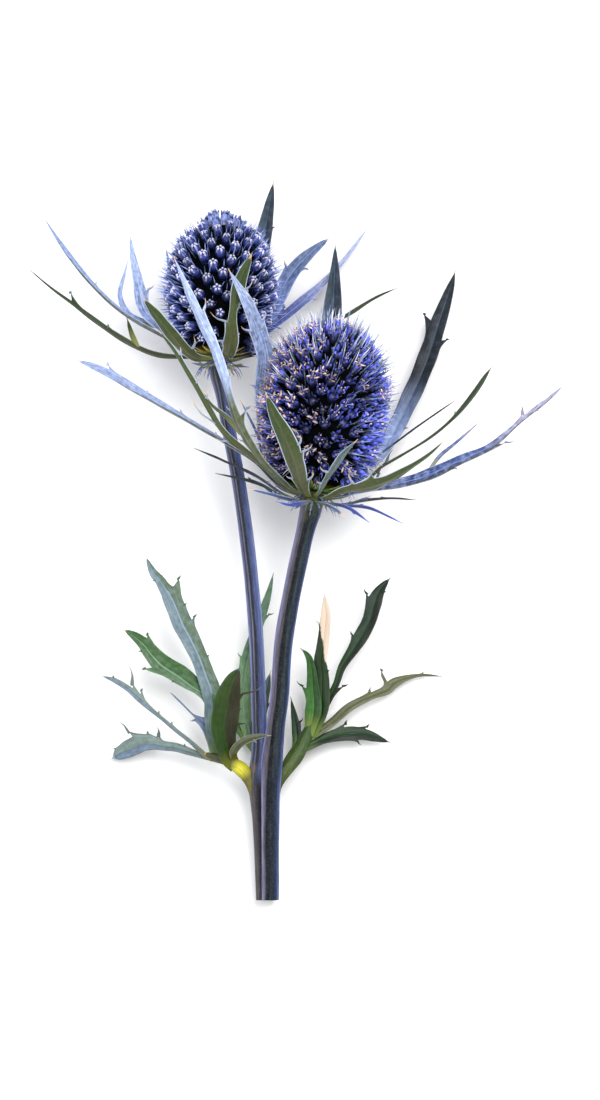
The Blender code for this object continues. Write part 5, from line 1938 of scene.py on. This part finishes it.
        return [
            # The cups' near-black lower part is painted shade between the florets.
            ("cups", stamp(self.cup()), FloretFinish(
                "floret_cup", 0.4, (3, 4, 9), (28, 30, 84), (40, 50, 44), flecks=0.3, rise=(0.55, 1.0),
                painted_shade_level=0.45)),
            ("petals", stamp(self.petals()), FloretFinish(
                "violet_petal", 0.42, (24, 28, 92), (88, 104, 226), (140, 152, 240), flecks=0.3,
                rise=(0.15, 0.95), uneven=1.1, painted_shade_level=0.2)),
            ("sepals", stamp(self.sepals()), FloretFinish(
                "floret_sepal", 0.45, (24, 34, 60), (140, 150, 218), (196, 200, 236), flecks=0.3,
                rise=(0.2, 1.0), painted_shade_level=0.45)),
            ("styles", stamp(self.styles(), lambda spot: 0.6), FloretFinish(
                "pale_style", 0.4, (70, 80, 176), (176, 188, 240), (200, 204, 240), flecks=0.3, painted_shade_level=0.6)),
            ("tips", stamp(self.tips(), self.dotted), FloretFinish(
                "pale_tip", 0.55, (104, 84, 120), (196, 164, 176), (240, 222, 214), flecks=0.5,
                rise=(0.0, 0.6), uneven=1.0, painted_shade_level=0.8)),
            ("anthers", stamp(self.anthers(), self.cream), FloretFinish(
                "cream_anther", 0.6, (158, 118, 112), (226, 196, 168), (250, 238, 220), flecks=0.5,
                uneven=1.0, painted_shade_level=0.7)),
            ("bractlets", Stamp(self.bractlet(), lambda spot: 0.98 + 0.12 * spot.share,
                                lambda spot: 0.08 + 0.55 * spot.share, lambda spot: 0.3 + 0.7 * spot.glow,
                                8), FloretFinish(
                "open_bractlet_spine", 0.4, (34, 54, 44), (120, 142, 170), (200, 210, 238), flecks=0.4,
                rise=(0.35, 0.95), painted_shade_level=0.4)),
            ("needles", Stamp(self.needle(), lambda spot: 1.0, lambda spot: 0.1 + 1.2 * spot.share,
                              self.crest, 16), FloretFinish(
                "pale_needle", 0.45, (120, 134, 190), (222, 226, 246), (250, 236, 226), flecks=0.4,
                rise=(0.3, 0.8))),
        ]


# Colours across each stalk from its left edge to its right as seen: the stalk's own taupe and slate, with
# painted highlights in the pale lavender lines and painted shadow in the near-black bands, as in the groove
# between the two stalks.
FRONT_STRIPES_AND_PAINTED_LIGHT = ((0.02, (160, 158, 204)), (0.1, (130, 128, 166)), (0.2, (92, 88, 100)), (0.3, (84, 80, 84)),
                 (0.37, (14, 16, 22)), (0.5, (12, 14, 20)), (0.6, (44, 56, 54)), (0.74, (34, 44, 62)),
                 (0.86, (28, 38, 58)), (0.97, (84, 102, 152)))
FRONT_LOW_STRIPES_AND_PAINTED_LIGHT = ((0.02, (110, 108, 140)), (0.12, (170, 166, 204)), (0.24, (100, 100, 118)),
                     (0.36, (16, 18, 24)), (0.48, (12, 14, 20)), (0.62, (28, 38, 46)), (0.8, (30, 42, 62)),
                     (0.93, (40, 60, 108)), (0.99, (104, 122, 174)))
BACK_STRIPES_AND_PAINTED_LIGHT = ((0.02, (140, 148, 200)), (0.12, (100, 104, 140)), (0.2, (40, 44, 60)),
                (0.29, (112, 112, 132)), (0.37, (26, 28, 40)), (0.46, (34, 38, 54)), (0.54, (58, 68, 98)),
                (0.68, (74, 86, 132)), (0.84, (98, 112, 166)), (0.97, (136, 150, 198)))
BACK_LOW_STRIPES_AND_PAINTED_LIGHT = ((0.02, (104, 98, 96)), (0.3, (78, 72, 74)), (0.5, (50, 48, 52)), (0.66, (12, 12, 16)),
                    (0.97, (14, 16, 22)))


@dataclass
class ForkedStem:
    """The cut stem, its swollen joint and its two ribbed stalks, which run down side by side to the cut."""

    rib_depth: float = 0.09
    faces_round: int = 84
    row_step: float = 0.7

    def stalk(self, points: Sequence[Point], radii: Widths, ribs: int, twist: float, look: int,
              pith: int) -> Shape:
        """Sweeps a ribbed section along a line.

        Args:
            points: The points that the stalk runs through.
            radii: Radii at shares of its length.
            ribs: How many ribs go round it.
            twist: How far the ribs turn on the way up, in radians.
            look: The number of its skin's finish.
            pith: The number of its cut end's finish.

        Returns:
            The stalk, with the values around, place, rise, rib, top and joint.
        """
        rough = smooth_line(points, 200)
        length = float(np.linalg.norm(np.diff(rough, axis=0), axis=1).sum())
        line = smooth_line(points, int(length / self.row_step))
        shares = np.linspace(0, 1, len(line))
        ahead = unit(np.gradient(line, axis=0))
        ahead[0] = (0, 0, 1)
        side = unit(np.cross(ahead, np.array((0, -1.0, 0))))
        front = np.cross(ahead, side)
        angles = np.linspace(0, 2 * math.pi, self.faces_round, endpoint=False)
        radius = smooth_between(shares, *np.array(radii).T)
        wave = np.abs(np.cos((angles[None, :] + twist * shares[:, None]) * ribs / 2)) ** 0.6
        uneven = 1 + 0.012 * np.sin(shares * 40)[:, None] + 0.012 * np.sin(angles * 2 + 5 * shares[:, None])
        reach = radius[:, None] * (1 - self.rib_depth * (1 - wave)) * uneven
        rings = (line[:, None, :] + side[:, None, :] * (np.cos(angles)[None, :] * reach)[..., None]
                 + front[:, None, :] * (np.sin(angles)[None, :] * reach)[..., None])
        skin, quads, triangles = ringed(rings)

        def spread(grid: Array, foot: float, head: float) -> Array:
            """Values of the rings' points, and of the middles of the two ends."""
            full = np.broadcast_to(grid, (len(line), self.faces_round))
            return np.concatenate([full.ravel(), [foot, head]])

        rightness = (rings - line[:, None, :])[..., 0] / radius[:, None]
        height = line[:, 2:3]
        joint = np.exp(-(((height - JOINT_HEIGHT) / 1.9) ** 2)) * (0.5 - 0.6 * rightness)
        looks = np.full(len(quads) + len(triangles), look)
        looks[len(quads) : len(quads) + self.faces_round] = pith
        values = {
            "around": spread(angles[None, :] * 3, 0.0, 0.0),
            "place": spread((rightness + 1) / 2, 0.5, 0.5),
            "rise": spread(height, 0.0, float(height[-1, 0])),
            "rib": spread(wave, 1.0, 1.0),
            "top": spread(shares[:, None] ** 8, 0.0, 1.0),
            "joint": spread(joint * look, 0.0, 0.0),
        }
        return Shape(skin, quads, triangles, values, looks)

    def build(self, shop: Workshop) -> None:
        """Makes the stem.

        Args:
            shop: Makes the pieces.
        """
        front_line, back_line = (
            [*line, head.middle - head.axis * STALK_STRAIGHT, head.middle - head.axis * SEAT_GAP]
            for line, head in ((FRONT_STALK_LINE, FRONT_HEAD), (BACK_STALK_LINE, BACK_HEAD))
        )
        main = self.stalk(front_line, (
            (0, CUT_RADIUS), (0.24, CUT_RADIUS * 1.02), (0.31, JOINT_RADIUS), (0.42, FRONT_STALK_RADIUS),
            (0.9, FRONT_STALK_RADIUS), (0.98, FRONT_TOP_RADIUS), (1, FRONT_TOP_RADIUS)), 9, 0.5, 0, 2)
        branch = self.stalk(back_line, (
            (0, RIDGE_CUT_RADIUS), (0.15, RIDGE_CUT_RADIUS * 1.15), (0.23, RIDGE_JOINT_RADIUS),
            (0.3, BACK_STALK_RADIUS * 1.02), (0.6, BACK_STALK_RADIUS), (0.92, BACK_STALK_RADIUS * 0.97),
            (0.98, BACK_TOP_RADIUS), (1, BACK_TOP_RADIUS)), 7, 0.6, 1, 2)
        finishes = (StalkFinish("front_stalk_skin", 0.42, FRONT_STRIPES_AND_PAINTED_LIGHT, FRONT_LOW_STRIPES_AND_PAINTED_LIGHT, gloss=0.12),
                    StalkFinish("back_stalk_skin", 0.42, BACK_STRIPES_AND_PAINTED_LIGHT, BACK_LOW_STRIPES_AND_PAINTED_LIGHT, 0.2, gloss=0.15),
                    PithFinish("cut_pith", 0.8))
        shop.piece("stem_and_stalks", joined([main, branch]), finishes, Slot.STEM, "forked_stem")


@dataclass(frozen=True)
class Lobe:
    """One lobe of a leaf: where its midrib runs, how wide it is to each side, and its spines."""

    tone: Tone
    points: tuple[Point, ...]
    outline: Outline
    teeth: tuple[Tooth, ...] = ()
    fold_deg: float = 12.0


@dataclass(frozen=True)
class Leaf:
    """A leaf that is cut into narrow, spiny lobes on a short stalk."""

    name: str
    faces: Point
    stalk_tone: Tone
    stalk: tuple[Point, ...]
    stalk_widths: Widths
    lobes: tuple[Lobe, ...]

    def build(self, shop: Workshop) -> None:
        """Makes the leaf.

        Args:
            shop: Makes the pieces.
        """
        tones = list(dict.fromkeys([self.stalk_tone, *(lobe.tone for lobe in self.lobes)]))
        facing = np.array(self.faces, float)
        stalk = Blade(smooth_line(self.stalk, 60), evenly(*self.stalk_widths), lambda *_: facing,
                      fold_deg=-14, thick=1.5, thin=0.3, ripple=0.0, needle=0.6)
        parts = [stalk.shape().wearing(0)]
        for number, lobe in enumerate(self.lobes):
            blade = Blade(smooth_line(lobe.points, 120), lobe.outline, lambda *_: facing, lobe.teeth,
                          lobe.fold_deg, thick=0.5, ripple=0.12, phase=number * 2.1, needle=1.6)
            parts.append(blade.shape().wearing(tones.index(lobe.tone)))
        finishes = [tone.value for tone in tones]
        shop.piece(f"{self.name}_blades", joined(parts), finishes, Slot.LEAF, self.name)


LEFT_LOBES = (
    Lobe(
        Tone.GREY_GREEN, ((-11, 0.6, 31), (-11.4, 0.9, 37.4), (-11.5, 1.2, 42.4), (-12.5, 1.5, 46.3),
                          (-13.7, 1.8, 49.6), (-14.9, 2.1, 52.9), (-16.9, 2.6, 57.2), (-18.7, 3, 60.5),
                          (-20, 3.4, 63.8), (-21.6, 3.8, 67.1), (-22.7, 4, 68.6), (-23.8, 4.2, 70.4),
                          (-25.3, 4.5, 72.2), (-26.9, 5, 75.9)),
        evenly((0, 1.4), (0.12, 2.2), (0.22, 2.6), (0.31, 2.3), (0.38, 2), (0.56, 2.1), (0.635, 2.5),
               (0.71, 2.2), (0.785, 2.1), (0.825, 1.5), (0.92, 0.9), (1, 0.04)),
        (Tooth(0.8, 1, 2.8, 62, 1.2, 0.7), Tooth(0.635, 1, 1.7, 55, 1.4, 0.6), Tooth(0.715, 1, 0.6, 50),
         Tooth(0.46, 1, 0.5, 50), Tooth(0.88, -1, 0.3))),
    Lobe(
        Tone.BRIGHT_GREEN, ((-11.4, 0.5, 36.5), (-11.8, 0.9, 41.5), (-13.6, 1.2, 44.7), (-16.9, 1.8, 47),
                            (-19.6, 2.3, 49), (-23.5, 2.9, 51.6), (-25.9, 3.2, 54.2), (-27.2, 3.4, 55.9),
                            (-29.5, 3.8, 57.9), (-32, 4.1, 59.7)),
        ((0, 1, 1.2), (0.2, 1.3, 1.8), (0.36, 1, 2.5), (0.47, 1.6, 2.7), (0.62, 2.1, 2.8), (0.72, 1.6, 2.2),
         (0.8, 1.4, 1.9), (0.9, 0.8, 1.4), (1, 0.04, 0.04)),
        (Tooth(0.65, -1, 2.2, 42, 1.4, 0.8), Tooth(0.82, 1, 1.4, 35, 1.4, 0.75), Tooth(0.79, -1, 0.6, 60),
         Tooth(0.5, -1, 0.4))),
    Lobe(
        Tone.BLUE_GREY, ((-12, 0.4, 30.9), (-13.6, 0.8, 31.8), (-16.9, 1.3, 34.8), (-19.6, 1.7, 36.9),
                         (-22.6, 2.2, 39.4), (-25.9, 2.8, 42.1), (-28.2, 3.1, 44.3), (-30.5, 3.4, 46.3),
                         (-33.4, 3.7, 48.1), (-36.9, 4, 49.4)),
        evenly((0, 0.6), (0.2, 0.5), (0.45, 0.45), (0.6, 0.65), (0.68, 0.85), (0.76, 0.75), (0.86, 0.7),
               (0.94, 0.35), (1, 0.04)),
        (Tooth(0.68, 1, 1.3, 55, 1.4, 0.75), Tooth(0.745, 1, 4.8, 38, 0.6, 0.22), Tooth(0.9, 1, 0.7, 40),
         Tooth(0.5, 1, 0.6, 45), Tooth(0.38, 1, 0.6, 45)), 8),
    Lobe(
        Tone.BLUE_GREY, ((-9, 0.2, 30.4), (-13.6, 1.2, 31.5), (-16.9, 1.9, 32.4), (-20.2, 2.7, 33.3),
                         (-22.9, 3.3, 33.6), (-25.2, 3.9, 34.1), (-27.5, 4.5, 34.1), (-30.1, 5.2, 33.1),
                         (-32.4, 5.9, 32), (-34.5, 6.6, 30.7)),
        ((0, 0.8, 0.7), (0.25, 0.7, 0.75), (0.42, 0.9, 1.2), (0.55, 1, 1.4), (0.64, 1.5, 2), (0.74, 2, 2.3),
         (0.84, 1.9, 2.2), (0.93, 1.2, 1.4), (1, 0.04, 0.04)),
        (Tooth(0.75, 1, 4.4, 62, 0.5, 0.3), Tooth(0.58, 1, 2.4, 60, 0.6, 0.3), Tooth(0.66, 1, 0.9, 60),
         Tooth(0.92, 1, 0.6), Tooth(0.36, 1, 0.5))),
    Lobe(
        Tone.DARK_BLUE, ((-11.8, 0.4, 31.6), (-12.4, 0.9, 35), (-13.3, 1.3, 38.2), (-15, 1.6, 39.7),
                         (-16.6, 1.9, 41), (-18.8, 2.3, 43.2), (-21.3, 2.8, 45.6)),
        evenly((0, 0.7), (0.2, 1), (0.42, 1.5), (0.52, 0.7), (0.6, 0.2), (0.8, 0.1), (1, 0.04)),
        (Tooth(0.53, -1, 1.2, 50), Tooth(0.3, 1, 0.8))),
    Lobe(
        Tone.OLIVE_GREEN, ((-7, -0.2, 29.4), (-8.5, -2.3, 32), (-9.5, -5, 37), (-8.9, -6.8, 43),
                           (-8.2, -8, 46.2), (-7.2, -8.9, 49), (-5.7, -9.4, 51.6)),
        evenly((0, 1.6), (0.14, 2.3), (0.4, 3), (0.62, 3.1), (0.75, 2.6), (0.88, 1.6), (1, 0.05)),
        (Tooth(0.745, 1, 4.4, 52, 0.5, 0.15), Tooth(0.46, 1, 1.6, 75, 0.6, 0.3), Tooth(0.6, 1, 0.4))),
    Lobe(
        Tone.OLIVE_GREY, ((-7.6, -0.4, 31), (-7.4, -3.2, 32.6), (-6, -4.8, 34.4), (-3.8, -5.8, 35.6),
                          (-1.4, -6.8, 36.2), (1, -7.6, 36.4)),
        evenly((0, 0.9), (0.3, 0.9), (0.6, 0.85), (0.8, 0.6), (1, 0.04)),
        (Tooth(0.7, 1, 0.8), Tooth(0.55, -1, 0.8))),
)
RIGHT_LOBES = (
    Lobe(
        Tone.DARK_GREEN, ((10.2, 3.6, 38), (13, 4.6, 43), (15.2, 5.1, 47.2), (16.6, 5.5, 51.2),
                          (19.1, 6, 55), (20.6, 6.4, 57.5), (22.6, 7, 61.3), (23.7, 7.5, 65.1),
                          (24.7, 7.9, 67.6), (26.1, 8.3, 69.6), (27.4, 8.6, 71)),
        evenly((0, 0.9), (0.2, 0.9), (0.3, 0.75), (0.38, 0.85), (0.5, 1.35), (0.6, 1.65), (0.72, 1.7),
               (0.82, 1.75), (0.9, 1.2), (0.96, 0.6), (1, 0.04)),
        (Tooth(0.57, -1, 1.3, 42, 1.2, 0.5), Tooth(0.83, -1, 2, 40, 1.2, 0.5),
         Tooth(0.26, 1, 2.2, 40, 1.2, 0.6), Tooth(0.9, 1, 0.4, 30))),
    Lobe(
        Tone.DRIED_TIP, ((9.8, 3.4, 36), (11.8, 3.6, 42), (12.1, 3.5, 48), (11.8, 3.2, 52.5), (12.2, 3, 55),
                         (12.7, 2.8, 59), (13, 2.6, 62.5), (12.9, 2.5, 64.3), (12.6, 2.2, 67.8)),
        evenly((0, 1.2), (0.2, 2), (0.4, 1.7), (0.55, 1.4), (0.7, 1.35), (0.8, 1.3), (0.88, 1), (0.94, 0.5),
               (1, 0.04)),
        (Tooth(0.77, -1, 1.1, 42, 1, 0.4), Tooth(0.45, 1, 0.4))),
    Lobe(
        Tone.FRESH_GREEN, ((9.2, 3, 36), (10.3, 2.9, 42), (10.1, 2.7, 46.5), (9.9, 2.4, 50),
                           (9.4, 2.1, 52.8), (8.6, 1.9, 54.2), (7.2, 1.7, 55.5)),
        evenly((0, 1), (0.25, 1.9), (0.5, 1.5), (0.7, 1.05), (0.86, 0.7), (1, 0.04)),
        (Tooth(0.5, -1, 2.4, 42, 1.2, 0.5),)),
    Lobe(
        Tone.OLIVE_LEAF, ((8.6, 3, 35), (13.9, 5, 38.6), (18.5, 6, 42.4), (23.2, 7, 44.7),
                          (26.4, 7.8, 45.9), (27.7, 8.2, 47.2), (29.7, 8.7, 48.3), (32.7, 9.3, 49.1),
                          (35.2, 9.6, 49.3), (38.8, 9.8, 49)),
        evenly((0, 0.8), (0.3, 1.1), (0.5, 0.9), (0.6, 1.05), (0.68, 1.3), (0.75, 0.85), (0.84, 0.4),
               (0.92, 0.28), (1, 0.04)),
        (Tooth(0.655, -1, 3, 62, 0.9, 0.9), Tooth(0.5, -1, 1.5, 42), Tooth(0.87, -1, 0.6, 40))),
    Lobe(
        Tone.DARK_GREEN, ((6.8, 2.4, 32.6), (13, 4.4, 35.4), (20, 5.8, 36.4), (27.5, 6.8, 34.4)),
        evenly((0, 0.8), (0.4, 1.4), (0.6, 1.7), (0.8, 1.1), (1, 0.04)),
        (Tooth(0.5, -1, 1.8, 45, 1.4, 0.6), Tooth(0.7, -1, 1.4, 45, 1.4, 0.6), Tooth(0.62, 1, 1.4))),
    Lobe(
        Tone.DARK_GREEN, ((6, 2, 31.4), (6.6, 3.4, 36.4), (5.2, 4, 44.7)),
        evenly((0, 0.8), (0.4, 1.1), (0.7, 0.7), (1, 0.04)),
        (Tooth(0.55, 1, 1.2),)),
)
REAR_LOBES = (
    Lobe(
        Tone.PALE_GREEN, ((-3, 5.6, 33), (-5, 6.4, 40), (-5.2, 6.9, 47), (-4, 7.4, 54), (-1.5, 8.2, 61.6),
                          (-0.5, 8.5, 64.6), (0.5, 8.7, 68), (1.4, 9, 72)),
        evenly((0, 0.9), (0.25, 1.7), (0.5, 1.5), (0.7, 1.1), (0.84, 0.85), (0.93, 0.45), (1, 0.04)),
        (Tooth(0.76, 1, 1.5, 50, 1.4, 0.5), Tooth(0.5, -1, 1.2), Tooth(0.3, -1, 1.2))),
    Lobe(
        Tone.GREY_GREEN, ((-2.6, 5.4, 32), (-1.6, 6.2, 40), (0.8, 7, 50.4)),
        evenly((0, 0.8), (0.5, 1.4), (0.8, 0.9), (1, 0.04)),
        (Tooth(0.6, 1, 1),)),
    Lobe(
        Tone.FRESH_GREEN, ((-3, 5.6, 33), (-6.2, 6.4, 38.4), (-7.6, 7, 43)),
        evenly((0, 0.8), (0.5, 1.4), (0.8, 0.9), (1, 0.04)),
        (Tooth(0.6, -1, 1),)),
)
LEAVES = (
    Leaf(
        "left_leaf", (0.25, -1, 0.35), Tone.SHEATH_WITH_PAINTED_HIGHLIGHT,
        ((-3.2, -0.1, 19.5), (-3.25, -0.5, 23.2), (-3.9, -0.9, 26.6), (-6, -1.1, 29.3), (-9.6, -0.3, 31),
         (-13.8, 0.8, 32.2)),
        ((0, 0.2), (0.18, 0.55), (0.36, 1.35), (0.52, 1.75), (0.72, 1.2), (1, 0.5)), LEFT_LOBES),
    Leaf(
        "right_leaf", (-0.2, -1, 0.35), Tone.GREEN_SHEATH,
        ((1.9, 0.9, 22), (2.3, 0.8, 25), (3.7, 0.8, 28.2), (6.2, 1.8, 31.8), (8.8, 3.1, 36.6),
         (10.6, 4, 41)),
        ((0, 0.8), (0.15, 1), (0.32, 1.6), (0.5, 1.9), (0.75, 1.5), (1, 0.6)), RIGHT_LOBES),
    Leaf(
        "rear_leaf", (0, -1, 0.3), Tone.PALE_GREEN,
        ((-0.6, 2.4, 28.2), (-2.2, 5, 31.4), (-3.6, 6, 35.4), (-4.4, 6.4, 39)),
        ((0, 1.4), (0.3, 1.1), (1, 0.6)), REAR_LOBES),
)


@dataclass
class Studio:
    """The plain pale floor, the soft lights and the camera that looks down on the plant."""

    shop: Workshop
    lens: float = 250.0
    sensor: float = 36.0
    clip: tuple[float, float] = (0.1, 20.0)
    picture_middle: Point = (7.26, 0.0, 77.0)
    picture_height: float = 242.0
    floor_half: float = 1.4
    air: float = 0.62

    def floor(self) -> None:
        """Lays the floor."""
        mesh = bpy.data.meshes.new("pale_floor")
        half = self.floor_half
        corners = [(-half, -half, 0), (half, -half, 0), (half, half, 0), (-half, half, 0)]
        mesh.from_pydata(corners, [], [(0, 1, 2, 3)])
        mesh.materials.append(self.shop.material(FloorFinish("floor_paint", 0.9)))
        made = bpy.data.objects.new("pale_floor", mesh)
        bpy.context.scene.collection.objects.link(made)

    @staticmethod
    def lamp(name: str, place: Point, aim: Point, size: float, watts: float, tint: Point) -> None:
        """Hangs one soft square light.

        Args:
            name: The light's name.
            place: Where it hangs, in metres.
            aim: The point that it shines at.
            size: Its side, in metres.
            watts: Its power.
            tint: Its red, green and blue, from 0 to 1.
        """
        light = bpy.data.lights.new(name, "AREA")
        light.size, light.energy, light.color = size, watts, tint
        made = bpy.data.objects.new(name, light)
        made.location = place
        made.rotation_euler = (Vector(aim) - Vector(place)).to_track_quat("-Z", "Y").to_euler()
        bpy.context.scene.collection.objects.link(made)

    def light(self) -> None:
        """Lights the plant softly from all round, a little more from the upper left."""
        world = bpy.data.worlds.new("studio_air")
        world.use_nodes = True
        air = world.node_tree.nodes["Background"].inputs
        air["Color"].default_value = (1, 1, 1, 1)
        air["Strength"].default_value = self.air
        bpy.context.scene.world = world
        self.lamp("key", (0.42, 0.5, 1.35), (0, 0.02, 0), 1.1, 25.0, (1.0, 0.99, 0.98))
        self.lamp("fill", (-0.8, -0.3, 1.2), (0, 0, 0), 1.2, 9.0, (0.95, 0.97, 1.0))

    def camera(self) -> None:
        """Sets the camera straight above the plant's own front, as far off as the lens needs."""
        data = bpy.data.cameras.new("camera")
        data.lens = self.lens
        data.sensor_width = self.sensor
        data.clip_start, data.clip_end = self.clip
        distance = self.picture_height * self.lens / self.sensor
        made = bpy.data.objects.new("camera", data)
        plant = self.shop.plant
        aim, seen_from = plant.place(np.array((self.picture_middle, self.picture_middle))
                                     - np.array(((0, 0, 0), (0, distance, 0))))
        made.location = seen_from
        right, up, back = (plant.turn() @ np.array(way) for way in ((1.0, 0, 0), (0, 0, 1.0), (0, -1.0, 0)))
        made.rotation_euler = Matrix(np.stack([right, up, back], axis=1).tolist()).to_euler()
        bpy.context.scene.collection.objects.link(made)
        bpy.context.scene.camera = made
        bpy.context.scene.view_settings.view_transform = "Standard"
        LOG.info("camera aims at %s", np.round(aim, 4))


def main() -> None:
    """Builds every piece in order, then the floor, the lights and the camera."""
    logging.basicConfig(level=logging.INFO, format="%(message)s")
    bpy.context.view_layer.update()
    shop = Workshop(LaidPlant(), Effects())
    studio = Studio(shop)
    studio.camera()
    studio.floor()
    studio.light()
    ForkedStem().build(shop)
    ClosedHead(BACK_HEAD).build(shop)
    OpenHead(FRONT_HEAD).build(shop)
    Ruff(FRONT_HEAD, "front", Slot.FRONT_BRACT, FRONT_BRACTS, FRONT_SHORT_BRACTS).build(shop)
    Ruff(BACK_HEAD, "back", Slot.BACK_BRACT, BACK_BRACTS, BACK_SHORT_BRACTS).build(shop)
    for leaf in LEAVES:
        leaf.build(shop)
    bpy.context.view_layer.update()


if __name__ == "__main__":
    main()
